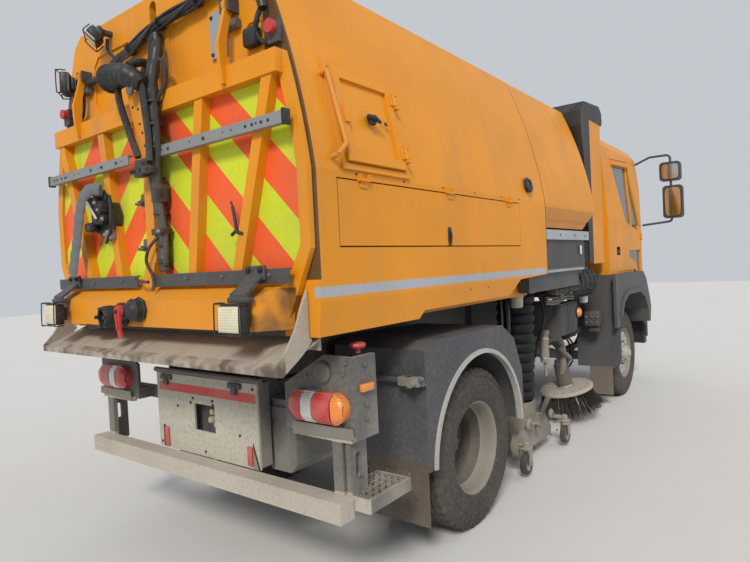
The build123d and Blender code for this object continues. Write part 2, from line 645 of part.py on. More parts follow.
def axles_and_springs():
    rear = bar((0, -555, AXLE_Z), (0, 555, AXLE_Z), 66)
    rear += bar((0, -780, AXLE_Z), (0, 780, AXLE_Z), SPINDLE_R)
    rear += Pos(0, 0, AXLE_Z) * Rotation(90, 0, 0) * Cylinder(180, 210)
    rear += bar((90, 0, AXLE_Z), (260, 0, AXLE_Z + 22), 95)
    for y in (SPRING_Y, -SPRING_Y):
        rear += block(-70, 70, y - 45, y + 45, AXLE_Z + 40, AXLE_Z + 76)
        rear += leaf_spring(0, y, AXLE_Z + 75, 620)
    x = WHEELBASE
    beam = block(x - 45, x + 45, -620, 620, 400, 500)
    for sign in (1, -1):
        beam += along_x(closed([(sign * 600, 400), (sign * 600, 500), (sign * 745, 550), (sign * 745, 462)]),
                        x - 45, x + 45)
        beam += bar((x, sign * KINGPIN_Y, 462), (x, sign * KINGPIN_Y, 556), 58)
        beam -= bar((x, sign * KINGPIN_Y, 450), (x, sign * KINGPIN_Y, 570), KINGPIN_R + RUN_GAP)
        beam += leaf_spring(x, sign * SPRING_Y, 500, 600)
    shaft = bar((262, 0, AXLE_Z + 24), SHAFT_END, 45)
    return [rear, beam, shaft]


def drive_engine():
    """Plain blocks for the drive engine and gearbox under the cab."""
    x = WHEELBASE
    engine = block(x - 510, x + 570, -290, 290, 620, 1085)
    engine += block(x - 1130, x - 510, -190, 190, 590, 940)
    engine += bar((SHAFT_END[0] + RUN_GAP, 0, SHAFT_END[2]), (x - 1130, 0, 676.3), 70)
    for sign in (1, -1):
        engine += block(x - 330, x - 230, sign * 280, sign * (RAIL_Y - RAIL_WEB), 850, 900)
        engine += block(x - 930, x - 850, sign * 180, sign * (RAIL_Y - RAIL_WEB), 800, 860)
    return engine


HOUSE_X0 = SEAM_X + 50
HOUSE_X1 = FRONT_X - 80
HOUSE_Y = 1085
LEDGE_Z = 1600
STRIP_Z0 = 1862
STRIP_Z1 = 1948
CAN_R = 150
CAN_Z = 1440
CAN_RIBS = (60, 210, 360, 510)      # distances along the canister
FIN_STEP = 48


def sweeper_engine_housing():
    """The auxiliary engine's box under the hopper's front section, with its side gear."""
    house = block(HOUSE_X0 + 70, HOUSE_X1, -HOUSE_Y + 15, HOUSE_Y - 15, LEDGE_Z, STRIP_Z1)
    house -= block(HOUSE_X0 + 130, HOUSE_X1 - 60, -HOUSE_Y + 75, HOUSE_Y - 75, LEDGE_Z - 20, STRIP_Z0)
    house += block(HOUSE_X0, HOUSE_X1, -HOUSE_Y + 15, HOUSE_Y - 15, LEDGE_Z, LEDGE_Z + 14)
    house += block(HOUSE_X0 + 370, HOUSE_X0 + 1070, -300, 300, RAIL_Z1 + 70, LEDGE_Z + 5)
    for sign in (1, -1):
        # Uprights on the rails, the pale strip, the sloping ledge and the black box below it
        house += block(HOUSE_X0, HOUSE_X1, sign * (RAIL_Y - 80), sign * RAIL_Y, RAIL_Z1, LEDGE_Z + 5)
        inner, outer = sign * (HOUSE_Y - 40), sign * (HOUSE_Y + 13)
        house += block(HOUSE_X0 + 110, FRONT_X - 10, inner, outer, STRIP_Z0, STRIP_Z1)
        ledge = [(sign * (HOUSE_Y - 45), LEDGE_Z + 14), (sign * (HOUSE_Y + 30), LEDGE_Z - 8),
                 (sign * (HOUSE_Y + 30), LEDGE_Z - 22), (sign * (HOUSE_Y - 45), LEDGE_Z)]
        house += along_x(closed(ledge), HOUSE_X0, HOUSE_X1 - 60)
        house += block(HOUSE_X0 + 320, HOUSE_X0 + 970, sign * 760, sign * HOUSE_Y, LEDGE_Z - 170, LEDGE_Z)
        house += block(HOUSE_X0, HOUSE_X0 + 330, sign * 985, sign * HOUSE_Y, LEDGE_Z - 170, LEDGE_Z)
        house += block(HOUSE_X0 - 250, HOUSE_X0 + 10, sign * 1000, sign * HOUSE_Y, LEDGE_Z - 170, SKIRT_Z + 151)
        house += block(HOUSE_X0 - 30, HOUSE_X0 + 330, sign * 640, sign * 990, LEDGE_Z - 110, LEDGE_Z)
        house += ribbed_box(sign)
        house += canister(sign)
    return house


def ribbed_box(sign):
    """A finned cooler box that stands out from the rail over the brush arm."""
    x0, x1, outer = 2124, 2614, 940
    box = block(x0, x1, sign * RAIL_Y, sign * outer, 940, 1250)
    for k in range(int((x1 - x0) / FIN_STEP)):
        x = x0 + 12 + k * FIN_STEP
        box += block(x, x + 16, sign * (outer - 5), sign * (outer + 26), 955, 1238)
    return box


def canister(sign):
    """The ribbed silencer drum, with its strap, beside the intake."""
    x0, y = HOUSE_X1 - 140, sign * 900
    can = bar((x0, y, CAN_Z), (x0 + 590, y, CAN_Z), CAN_R)
    for reach in CAN_RIBS:
        can += bar((x0 + reach, y, CAN_Z), (x0 + reach + 22, y, CAN_Z), CAN_R + 12)
    return can + block(x0 - 40, x0 + 140, sign * 760, sign * 1040, CAN_Z, LEDGE_Z + 12)


STACK_X1 = CAB_REAR - 70
STACK_X0 = STACK_X1 - 435
STACK_Y0 = 700
STACK_Y1 = 1035
STACK_Z0 = 1620
HOOD_Z0 = 3150
DUCT_DEEP = 150
BELLOWS_RIBS = 8


def intake_stack():
    """Painted column behind the cab on the right side."""
    plan = [(STACK_X0, -STACK_Y1), (STACK_X0, -STACK_Y0), (STACK_X1, -STACK_Y0), (STACK_X1, -STACK_Y1 + 35),
            (STACK_X1 - 35, -STACK_Y1)]
    return along_z(plan, STACK_Z0, HOOD_Z0)


def intake_hood():
    """Black hood on the column, the duct down its rear, the bellows to the engine, and its stand."""
    x0, x1, rear = STACK_X0, STACK_X1, STACK_X0 - DUCT_DEEP
    outline = [(x0, HOOD_Z0), (x1 + 20, HOOD_Z0), (x1 + 42, 3190), (x1 + 30, 3290), (x1 - 60, 3350),
               (rear, 3310), (rear - 110, 3200), (rear - 125, 3050), (rear - 50, 2600), (rear, 2100),
               (rear, STACK_Z0 + 20), (x0, STACK_Z0 + 20)]
    hood = along_y(outline, -STACK_Y1 - 5, -STACK_Y0 + 10)
    mouth = [(x1 - 120, 3190), (x1 + 60, 3190), (x1 + 60, 3290), (x1 - 60, 3320)]
    hood -= along_y(mouth, -STACK_Y1 + 20, -STACK_Y0 - 15)
    # Square bellows between the housing and the duct
    low, high = LEDGE_Z + 42, STRIP_Z0 - 12
    bellows = block(HOUSE_X1, rear + 5, -1010, -770, low + 20, high - 20)
    step = (rear - HOUSE_X1) / BELLOWS_RIBS
    for k in range(BELLOWS_RIBS):
        x = HOUSE_X1 + k * step
        bellows += block(x, x + step * 0.45, -1030, -750, low, high)
    stand = block(x0 + 60, x1 - 60, -800, -RAIL_Y + 80, RAIL_Z1, RAIL_Z1 + 90)
    stand += block(x0 + 60, x1 - 60, -800, -710, RAIL_Z1, STACK_Z0)
    return [hood + bellows, stand]


# Rear mudguards and front wheel guards
ARCH_R = 620
STAY_X = -700
STAY_Z = 1070


def wheel_guards():
    """A boxed arch over each rear wheel, a panel behind each front wheel, and the rubber flaps."""
    guards = []
    for flip in ("left", "right"):
        outline = [(-640, 560), (-640, 1235), (-560, 1275), (330, 1262), (520, 1150), (640, 900), (640, 560)]
        arch = along_y(outline, 520, 1185)
        arch -= bar((0, 500, AXLE_Z + 30), (0, 1158, AXLE_Z + 30), ARCH_R - 16)
        arch -= bar((0, 1150, AXLE_Z + 30), (0, 1200, AXLE_Z + 30), ARCH_R - 40)
        arch -= block(-ARCH_R + 16, ARCH_R - 16, 500, 1158, 400, AXLE_Z + 30)
        arch -= block(-ARCH_R + 40, ARCH_R - 40, 1150, 1200, 400, AXLE_Z + 30)
        arch += block(-660, -640, 740, 1185, 560, 1235)
        arch += block(-500, -440, RAIL_Y, 560, 880, 960)
        rim = bar((0, 1180, AXLE_Z + 30), (0, 1198, AXLE_Z + 30), ARCH_R - 14)
        rim -= bar((0, 1170, AXLE_Z + 30), (0, 1200, AXLE_Z + 30), ARCH_R - 40)
        arch += rim & block(-ARCH_R, ARCH_R, 1170, 1200, 560, 1300)
        # The stay tube behind the guard, with its clamp
        arch += bar((STAY_X, RAIL_Y, STAY_Z), (STAY_X, 1190, STAY_Z), 16)
        arch += block(STAY_X - 24, -655, 1095, 1125, STAY_Z - 40, STAY_Z + 34)
        guards.append(side(arch, flip))
        x = WHEELBASE - 655
        face = closed([(700, 1480), (1180, 1480), (1180, 520), (1155, 465), (1100, 440), (700, 440)])
        panel = along_x(face, x, x + 18) + block(x - 115, x + 18, 1150, 1180, 900, 1490)
        panel += block(x - 175, x, RAIL_Y, 760, 830, 900)
        guards.append(side(panel, flip))
        guards.append(side(block(-656, -644, 760, 1170, 250, 560), flip))
        guards.append(side(block(x + 3, x + 13, 830, 1080, 130, 440), flip))
    return guards


BAR_X0 = -1344
BAR_X1 = -1244
BAR_Z0 = 525
BAR_Z1 = 626
BAR_Y = 1133


def rear_underrun():
    """Square underrun bar on its posts, step tray, lamp brackets and the rear board."""
    gear = block(BAR_X0, BAR_X1, -BAR_Y, BAR_Y, BAR_Z0, BAR_Z1)
    for sign in (1, -1):
        gear += block(BAR_X1 - 8, BAR_X1 + 22, sign * 1020, sign * 1080, BAR_Z1 - 5, 960)
        hanger = block(BAR_X1 + 5, -1110, sign * 1090, sign * 1115, BAR_Z1 - 60, 1130)
        oval = Plane(origin=(-1175, sign * 1080, 760), x_dir=(0, 0, 1), z_dir=(0, sign, 0))
        gear += hanger - extrude(oval * SlotOverall(120, 44), amount=50)
        plate = along_x(closed([(sign * 700, 900), (sign * 1140, 900), (sign * 1165, 1120), (sign * 1165, 1285),
                                (sign * 980, 1290), (sign * 700, 1130)]), -1240, -1222)
        gear += plate
        gear += block(-1252, -1222, sign * 760, sign * 1140, 880, 908)
        gear += block(-1240, -1070, sign * 1135, sign * 1165, 890, 1285)
        # A square tank beside the rail, its lower outer edge cut
        tank = [(sign * RAIL_Y, 600), (sign * 590, 600), (sign * 640, 650), (sign * 640, 1000),
                (sign * RAIL_Y, 1000)]
        gear += along_x(closed(tank), -1120, -780)
        gear += block(-1130, -1070, sign * RAIL_Y, sign * 1165, 890, 960)
        gear += block(-1240, -1070, sign * 700, sign * 760, 900, 960)
    # Step tray at the right end
    step = block(-1240, -900, -1225, -1010, 560, 625) - block(-1225, -915, -1210, -1025, 575, 640)
    for x in range(-1190, -930, 60):
        step += block(x - 8, x + 8, -1212, -1022, 562, 615)
    gear += step
    # Board with its square hole, and the box behind it
    board = block(-1240, -1228, -476, 476, BAR_Z1 + 4, 1100)
    board -= block(-1250, -1220, -103, 93, 779, 939)
    for sign in (1, -1):
        board += block(-1230, RAIL_REAR, sign * 452, sign * 476, 640, 1100)
    board += block(RAIL_REAR - 14, RAIL_REAR, -476, 476, 640, 1000)
    gear += board
    return gear


def tail_lamps():
    lamps = []
    for sign in (1, -1):
        base = along_x(Pos(sign * 950, 1040) * SlotOverall(370, 150), -1280, -1240)
        lamps.append(base + along_x(Pos(sign * 950, 1040) * SlotOverall(344, 124), -1293, -1279))
        lamps.append(block(-1200, -1120, sign * 1165, sign * 1172, 1120, 1150))
    return lamps


def front_bumper():
    """Bumper with its headlamps and lower steps, in front of the rails."""
    x = FRONT_END
    half = [(x - 350, 980), (x - 350, 1040), (x - 170, 1060), (x - 50, 1000), (x, 780)]
    inner = [(x - 80, 760), (x - 100, 940)]
    plan = half + [(a, -b) for a, b in reversed(half)] + [(a, -b) for a, b in reversed(inner)] + inner
    bumper = along_z(plan, 560, 935)
    bumper -= block(x - 30, x + 10, -430, 430, 600, 700)
    for sign in (1, -1):
        bumper -= block(x - 70, x + 10, sign * 590, sign * 910, 740, 890)
        bumper += block(x - 90, x - 35, sign * 560, sign * 940, 720, 910)
        bumper += along_x(Pos(sign * 680, 815) * RectangleRounded(150, 118, 40), x - 40, x - 14)
        bumper += along_x(Pos(sign * 835, 815) * RectangleRounded(120, 118, 40), x - 40, x - 28)
        bumper += block(RAIL_FRONT, x - 78, sign * 355, sign * RAIL_Y, 780, 900)
        bumper += bar((CAB_PIVOT_X, sign * 290, CAB_PIVOT_Z), (CAB_PIVOT_X, sign * 360, CAB_PIVOT_Z), CAB_PIN_R)
        step = block(x - 470, x - 345, sign * 870, sign * 1078, 500, 790)
        step -= block(x - 450, x - 365, sign * 930, sign * 1090, 590, 760)
        bumper += step
    return bumper


# Cab

def cab_side(offset):
    """The cab's side profile, pulled in by offset."""
    return [(CAB_REAR + offset, CAB_SILL_Z + offset), (CAB_REAR + offset, CAB_ROOF - 60 - offset),
            (CAB_REAR + 60 + offset, CAB_ROOF - offset), (CAB_FRONT - 450 - offset / 2, CAB_ROOF - 20 - offset),
            (CAB_FRONT - 310 - offset, CAB_ROOF - 110 - offset / 2), (CAB_FRONT - 70 - offset, 2130),
            (CAB_FRONT - offset, 2000), (CAB_FRONT - offset, CAB_FLOOR + offset),
            (WHEELBASE + 930 - offset / 2, CAB_FLOOR + offset), (WHEELBASE + 670 - offset, CAB_SILL_Z + offset)]


def cab_hull(offset):
    side_view = along_y(cab_side(offset), -1200, 1200)
    wide = CAB_Y - offset
    roof = 1000 - offset
    shoulder, crown = CAB_ROOF - 110, CAB_ROOF + 30
    front = along_x(closed([(wide, 900), (wide, 2120), (roof, shoulder), (roof - 90, crown), (-roof + 90, crown),
                            (-roof, shoulder), (-wide, 2120), (-wide, 900)]), CAB_REAR - 490, CAB_FRONT + 200)
    nose = CAB_FRONT - offset
    half = [(CAB_REAR - 100, wide), (CAB_SIDE_END, wide), (CAB_SIDE_END + 150, wide - 45),
            (CAB_SIDE_END + 260, wide - 160), (nose, wide - 420)]
    plan = along_z(half + [(nose + 20, 0)] + [(x, -y) for x, y in reversed(half)], 900, CAB_ROOF + 130)
    return side_view & front & plan


# Outlines of (x, z) round the door, its windows and its handle's recess
CAB_DOOR = [*ahead((-230, 1500), (-230, CAB_ROOF - 240), (650, CAB_ROOF - 190)),
            (DOOR_FRONT, 2110), (DOOR_FRONT, 1180), (DOOR_FRONT - 80, 1180), *ahead((690, 1500))]
DOOR_FOOT_CUT = ahead((670, 1530), (950, 1190), (950, 1100), (870, 1100), (570, 1470), (570, 1500))
CAB_WINDOW = [*ahead((-150, CAB_ROOF - 310), (610, CAB_ROOF - 270)), (DOOR_FRONT - 80, 2080),
              (DOOR_FRONT - 160, 2000), *ahead((250, 2110))]
LOW_WINDOW = [*ahead((370, 1750)), (DOOR_FRONT - 55, 1750), (DOOR_FRONT - 55, 1385), (DOOR_FRONT - 160, 1385),
              *ahead((680, 1590), (370, 1670))]
DIVIDER_X = WHEELBASE + 520
VISOR = ahead((-170, CAB_ROOF - 300), (630, CAB_ROOF - 258), (630, CAB_ROOF - 214), (-170, CAB_ROOF - 256))
HANDLE = (WHEELBASE - 200, WHEELBASE - 60, 1700, 1790)       # x0, x1, z0, z1
LOUVRES = (1530, 1590, 1650, 1710)
GRILLE = (1190, 1250, 1310, 1370, 1430)
SLAT_GAP = 30


def grown(points, gap):
    """Push a convex outline out from its middle by about gap."""
    cx = sum(p[0] for p in points) / len(points)
    cz = sum(p[1] for p in points) / len(points)
    moved = []
    for x, z in points:
        reach = sqrt((x - cx) ** 2 + (z - cz) ** 2)
        moved.append((cx + (x - cx) * (1 + gap / reach), cz + (z - cz) * (1 + gap / reach)))
    return moved


def door_knuckle(z):
    """The door's half of a hinge: a bored knuckle on a leaf."""
    leaf = bar((DOOR_PIN_X, DOOR_PIN_Y, z - 27), (DOOR_PIN_X, DOOR_PIN_Y, z + 27), 9)
    leaf += block(DOOR_PIN_X - 40, DOOR_PIN_X, CAB_Y + 4, CAB_Y + 12, z - 27, z + 27)
    leaf += block(DOOR_PIN_X - 40, DOOR_PIN_X - 8.5, CAB_Y - 10, CAB_Y + 12, z - 27, z + 27)
    return leaf - bar((DOOR_PIN_X, DOOR_PIN_Y, z - 40), (DOOR_PIN_X, DOOR_PIN_Y, z + 40), DOOR_PIN_R + RUN_GAP)


def door_lugs(z):
    """The cab's half: a pin between two lugs."""
    lugs = bar((DOOR_PIN_X, DOOR_PIN_Y, z - 45), (DOOR_PIN_X, DOOR_PIN_Y, z + 45), DOOR_PIN_R)
    for z0, z1 in ((z - 45, z - 29), (z + 29, z + 45)):
        lugs += bar((DOOR_PIN_X, DOOR_PIN_Y, z0), (DOOR_PIN_X, DOOR_PIN_Y, z1), 8)
        lugs += block(DOOR_PIN_X, CAB_SIDE_END - 2, CAB_Y + 4, CAB_Y + 12, z0, z1)
        lugs += block(DOOR_PIN_X + 7.5, CAB_SIDE_END - 2, CAB_Y - 10, CAB_Y + 12, z0, z1)
    return lugs


def cab_parts():
    outer = cab_hull(0)
    inner = cab_hull(CAB_WALL)
    walls = outer - inner
    doors = {}
    panes = {}
    x0, x1, z0, z1 = HANDLE
    for flip in ("left", "right"):
        slab = side(along_y(CAB_DOOR, 900, 1200), flip)
        hole = side(along_y(grown(CAB_DOOR, 9), 900, 1200) + along_y(DOOR_FOOT_CUT, 900, 1200), flip)
        divider = block(DIVIDER_X, DIVIDER_X + 28, 900, 1200, 1900, CAB_ROOF)
        window = side(along_y(CAB_WINDOW, 900, 1200) - divider + along_y(LOW_WINDOW, 900, 1200), flip)
        skin = walls & slab
        visor = along_y(VISOR, 900, 1200) & (cab_hull(-26) - cab_hull(0))
        grip = block(x0 - 5, x1 + 5, CAB_Y - 24, CAB_Y - 4, z0 + 34, z0 + 58)
        recess = block(x0, x1, CAB_Y - 34, 1200, z0, z1)
        doors[flip] = skin - window - side(recess, flip) + side(grip, flip) + side(visor, flip)
        for z in DOOR_HINGES:
            doors[flip] += side(door_knuckle(z), flip)
        panes[flip] = (cab_hull(20) - cab_hull(28)) & window
        walls -= hole
        for z in DOOR_HINGES:
            walls += side(door_lugs(z), flip)
        for z in LOUVRES:
            cut = block(CAB_SIDE_END + 20, CAB_SIDE_END + 105, CAB_Y - 45, CAB_Y + 20, z, z + SLAT_GAP)
            walls -= side(cut, flip)
    # Windscreen, rear window, front grille and the round cap on the roof
    screen = block(CAB_FRONT - 440, CAB_FRONT + 100, -900, 900, 2150, CAB_ROOF - 170)
    rear = block(CAB_REAR - 20, CAB_REAR + 80, -620, 620, 2250, CAB_ROOF - 270)
    walls = walls - screen - rear
    for z in GRILLE:
        walls -= block(CAB_FRONT - 22, CAB_FRONT + 50, -600, 600, z, z + SLAT_GAP)
    cap = make_face(Polyline((0, 0), (95, 0), (88, 40), (55, 72), (0, 84), close=True))
    walls += Pos(CAB_REAR + 190, -420, CAB_ROOF - 20) * revolve(Plane.XZ * cap, axis=Axis.Z)
    # Arms down to the tilt pivot
    x, z = CAB_PIVOT_X, CAB_PIVOT_Z
    for sign in (1, -1):
        arm = along_y([(x - 40, z), (x + 40, z), (x - 20, CAB_FLOOR + 5), (x - 100, CAB_FLOOR + 5)],
                      sign * 322 - 22, sign * 322 + 22)
        arm += bar((x, sign * 300, z), (x, sign * 344, z), 42)
        arm -= bar((x, sign * 280, z), (x, sign * 360, z), CAB_PIN_R + RUN_GAP)
        walls += arm
    glass = (cab_hull(20) - cab_hull(28)) & screen
    back = block(CAB_REAR + 22, CAB_REAR + 30, -620, 620, 2250, CAB_ROOF - 270)
    return walls, doors, panes, [glass, back]


def cab_interior():
    """Two seats, dashboard and steering wheel."""
    parts = [dashboard()]
    x = WHEELBASE
    for y in (520, -520):
        seat = block(x + 20, x + 490, y - 240, y + 240, 1700, 1830)
        seat += along_y(ahead((20, 1820), (-130, 2380), (-40, 2400), (130, 1830)), y - 230, y + 230)
        seat += block(x + 90, x + 420, y - 150, y + 150, CAB_SILL_Z + CAB_WALL, 1700)
        parts.append(seat)
    return parts


def dashboard():
    x = CAB_FRONT
    dash = along_y([(x - 440, 1900), (x - 420, 2060), (x - 120, 2090), (x - 120, 1900)], -930, 930)
    dash += block(x - 220, x - 55, -930, 930, 1180, 1905)
    hub = (x - 610, 520, 2110)
    wheel = Plane(origin=hub, z_dir=(-0.75, 0, 0.66))
    ring = closed([(199, -8), (199, 8), (208, 16), (224, 16), (233, 0), (224, -16), (208, -16)])
    dash += wheel * revolve(Plane.XZ * ring, axis=Axis.Z)
    dash += bar(hub, (x - 400, 520, 1960), 30)
    dash += wheel * Box(410, 40, 20)
    return dash & cab_hull(CAB_WALL)


WING = ahead((-630, 1480), (530, 1480), (690, 1380), (870, 1118), (920, 1000), (870, 820), (730, 820),
             (690, 980), (530, 1150), (270, 1235), (-270, 1235), (-470, 1160), (-590, 1000), (-630, 1000))
WING_LIP = ahead((730, 820), (690, 980), (530, 1150), (270, 1235), (-270, 1235), (-470, 1160), (-590, 1000),
                 (-630, 1000), (-630, 1075), (-505, 1215), (-285, 1292), (290, 1292), (565, 1203), (745, 1010),
                 (790, 820))
MIRRORS = [  # y0, y1, distances of the foot and the top below the cab's roof
    (1300, 1555, 430, 180), (1330, 1570, 920, 490)]


def arm_tube(points, bend):
    """An eight sided tube along runs joined by arcs."""
    path = FilletPolyline(*points, radius=bend)
    return sweep(Plane(origin=path @ 0, z_dir=path % 0) * RegularPolygon(15, 8), path)


def mirror_set():
    """Two rounded heads on their tube arms."""
    x, top = CAB_SIDE_END + 70, CAB_ROOF
    arms = arm_tube([(x - 70, 1012, top - 170), (x, 1180, top - 85), (x, 1430, top - 85),
                     (x, 1430, top - 210)], 50)
    arms += bar((x, 1430, top - 430), (x, 1430, top - 490), 15)
    arms += arm_tube([(x - 40, 1072, top - 990), (x, 1300, top - 970), (x, 1430, top - 960),
                      (x, 1430, top - 870)], 40)
    for y0, y1, foot, head in MIRRORS:
        outline = Pos((y0 + y1) / 2, top - (foot + head) / 2) * RectangleRounded(y1 - y0, foot - head, 45)
        arms += along_x(outline, x - 30, x + 50)
        back = Pos((y0 + y1) / 2, top - (foot + head) / 2) * RectangleRounded(y1 - y0 - 60, foot - head - 60, 40)
        arms += along_x(back, x + 45, x + 72)
    return arms


def cab_trim():
    """Mirrors on their arms and the black front wings with their wide lips."""
    parts = []
    for flip in ("left", "right"):
        parts.append(side(mirror_set(), flip))
        wing = along_y(WING, 640, 1180) + along_y(WING_LIP, 1175, 1196)
        parts.append(side(wing, flip))
    return parts


# Wheels

def wheel_face(y0, y1):
    s = TYRE_SHOULDER
    return closed([(y0 + 24, RIM_R - 4), (y0, RIM_R + 90), (y0 + 10, TYRE_R - 48), (y0 + s, TYRE_R),
                   (y1 - s, TYRE_R), (y1 - 10, TYRE_R - 48), (y1, RIM_R + 90), (y1 - 24, RIM_R - 4)])


def rect(y0, y1, r0, r1):
    return closed([(y0, r0), (y1, r0), (y1, r1), (y0, r1)])


def spun(face, x):
    return Pos(x, 0, AXLE_Z) * revolve(Plane.YZ * face, axis=Axis.Y)


def hand_holes(x, reach, radius, y0, y1):
    """Eight holes through a wheel's disc, as twelve sided cutters."""
    cutters = []
    for k in range(8):
        turn = radians(45 * k)
        middle = (x + reach * cos(turn), y0, AXLE_Z + reach * sin(turn))
        plane = Plane(origin=middle, x_dir=(1, 0, 0), z_dir=(0, 1, 0))
        cutters.append(extrude(plane * RegularPolygon(radius, 12), amount=y1 - y0))
    return cutters


def rear_wheels():
    inner_y = REAR_OUTER_Y - 2 * TYRE_W - TWIN_GAP
    face = wheel_face(inner_y, inner_y + TYRE_W) + wheel_face(REAR_OUTER_Y - TYRE_W, REAR_OUTER_Y)
    face += rect(inner_y + 8, REAR_OUTER_Y - 8, RIM_R - RIM_WALL, RIM_R)
    face += rect(850, 880, 60, RIM_R - 5)
    face += rect(inner_y + 12, 790, SPINDLE_R + RUN_GAP, 115)
    face += rect(788, 965, 0, 105)
    face += rect(inner_y + 30, inner_y + 230, 100, 215)
    return spun(face, 0) - hand_holes(0, 205, 30, 840, 900)


def front_wheel():
    y0 = FRONT_OUTER_Y - TYRE_W
    face = wheel_face(y0, FRONT_OUTER_Y)
    face += rect(y0 + 8, FRONT_OUTER_Y - 8, RIM_R - RIM_WALL, RIM_R)
    face += rect(1000, 1024, 60, RIM_R - 5)
    face += rect(905, 1010, SPINDLE_R + RUN_GAP, 110)
    face += rect(1008, 1130, 0, 95)
    return spun(face, WHEELBASE) - hand_holes(WHEELBASE, 200, 28, 990, 1030)


def knuckle():
    x = WHEELBASE
    body = bar((x, KINGPIN_Y, 420), (x, KINGPIN_Y, 598), KINGPIN_R)
    body += block(x - 40, x + 40, KINGPIN_Y - 30, 890, 556 + 2, 598)
    body += block(x - 40, x + 40, KINGPIN_Y - 30, 890, 420, 462 - 2)
    body += block(x - 60, x + 60, 868, 896, 420, 598)
    body += bar((x, 890, AXLE_Z), (x, 1000, AXLE_Z), SPINDLE_R)
    return body


# Sweep gear between the axles
BRUSH_X = 2690
BRUSH_Y = 785
BRUSH_Z = 335
BRUSH_TILT = 12
ARM_X = 2200
ARM_Y = 600


def brush_axis():
    """Direction from the brush up along its spindle, leaning back and in."""
    lean = radians(BRUSH_TILT)
    return Vector(-sin(lean) * 0.8, -sin(lean) * 0.6, cos(lean))


def brush_plane():
    return Plane(origin=(BRUSH_X, BRUSH_Y, BRUSH_Z), z_dir=brush_axis())


def side_brush():
    """Round plate with a flared skirt of bristles."""
    skirt = make_face(Polyline((120, -24), (285, -24), (360, -225), (205, -225), close=True))
    body = revolve(Plane.XZ * skirt, axis=Axis.Z)
    body += Pos(0, 0, -12) * Cylinder(270, 26)
    body += Pos(0, 0, 22.35) * Cylinder(70, 44.7)
    return brush_plane() * body


def brush_arm():
    up = brush_axis()
    top = Vector(BRUSH_X, BRUSH_Y, BRUSH_Z)
    low = top + up * 45
    high = top + up * 250
    body = bar(tuple(low), tuple(high), 75)
    # The bent arm, its boss, and the lift cylinder over it
    elbow = top + up * 300 + Vector(20, 60, 40)
    body += strut(tuple(top + up * 200), tuple(elbow), 90, 64) + strut(tuple(elbow), (ARM_X, ARM_Y, 785), 70, 60)
    body += bar(tuple(elbow + Vector(0, 0, 20)), (ARM_X + 20, ARM_Y, 845), 20)
    body += bar((ARM_X, ARM_Y, 700), (ARM_X, ARM_Y, 860), 55)
    body -= bar((ARM_X, ARM_Y, 690), (ARM_X, ARM_Y, 870), 25 + RUN_GAP)
    return body


def brush_mount():
    """Chassis bracket and pin for a brush arm."""
    body = block(ARM_X - 60, ARM_X + 45, RAIL_Y, ARM_Y + 40, 868, 900)
    body += block(ARM_X - 60, ARM_X + 45, RAIL_Y, ARM_Y + 40, 660, 690)
    body += block(ARM_X - 60, ARM_X + 60, RAIL_Y, 500, 660, 900)
    body += bar((ARM_X, ARM_Y, 670), (ARM_X, ARM_Y, 890), 25)
    return body


def nozzle():
    """Suction nozzle with its neck, trailing arm and two castors."""
    body = along_y([(1130, 120), (1740, 110), (1760, 170), (1620, 330), (1250, 360), (1120, 200)], 520, 960)
    body -= block(1180, 1690, 570, 910, 100, 150)
    body += bar((1440, 770, 340), (1440, 770, 470), 165)
    body -= bar((1440, 770, 140), (1440, 770, 480), 150)
    body += bar((940, 985, 245), (940, 1030, 245), 112)
    body += along_y([(900, 235), (900, 270), (1160, 330), (1160, 200)], 955, 985)
    body += strut((1700, 600, 200), (2060, 600, 520), 50, 40)
    body += bar((2060, 570, 520), (2060, 630, 520), 45)
    body -= bar((2060, 560, 520), (2060, 640, 520), 20 + RUN_GAP)
    return body


def nozzle_mount():
    body = block(2010, 2110, RAIL_Y, 460, 480, RAIL_Z1 - 20)
    body += bar((2060, RAIL_Y + 5, 520), (2060, 640, 520), 20)
    return body


HOSE_RIBS = 9
HOSE_BORE_R = 138
HOSE_FOOT = (1440, 770, 474)
HOSE_HEAD = (1460, 800, 1489.7)


def suction_hose():
    """Large corrugated hose from the nozzle's neck up to the housing's inlet."""
    foot, head = Vector(*HOSE_FOOT), Vector(*HOSE_HEAD)
    way = head - foot
    plain = 90
    pitch = (way.length - 2 * plain) / HOSE_RIBS
    outer = [(150, -20), (150, plain)]
    for k in range(HOSE_RIBS):
        outer += [(166, plain + (k + 0.5) * pitch), (149, plain + (k + 1) * pitch)]
    outer += [(152, way.length - plain + 8), (152, way.length + 20)]
    section = [(HOSE_BORE_R, -20), *outer, (HOSE_BORE_R, way.length + 20)]
    hose = revolve(Plane.XZ * closed(section), axis=Axis.Z)
    level = block(HOSE_FOOT[0] - 240, HOSE_HEAD[0] + 240, 500, 1100, HOSE_FOOT[2], HOSE_HEAD[2])
    return (Plane(origin=foot, z_dir=way) * hose) & level


# Tip ram

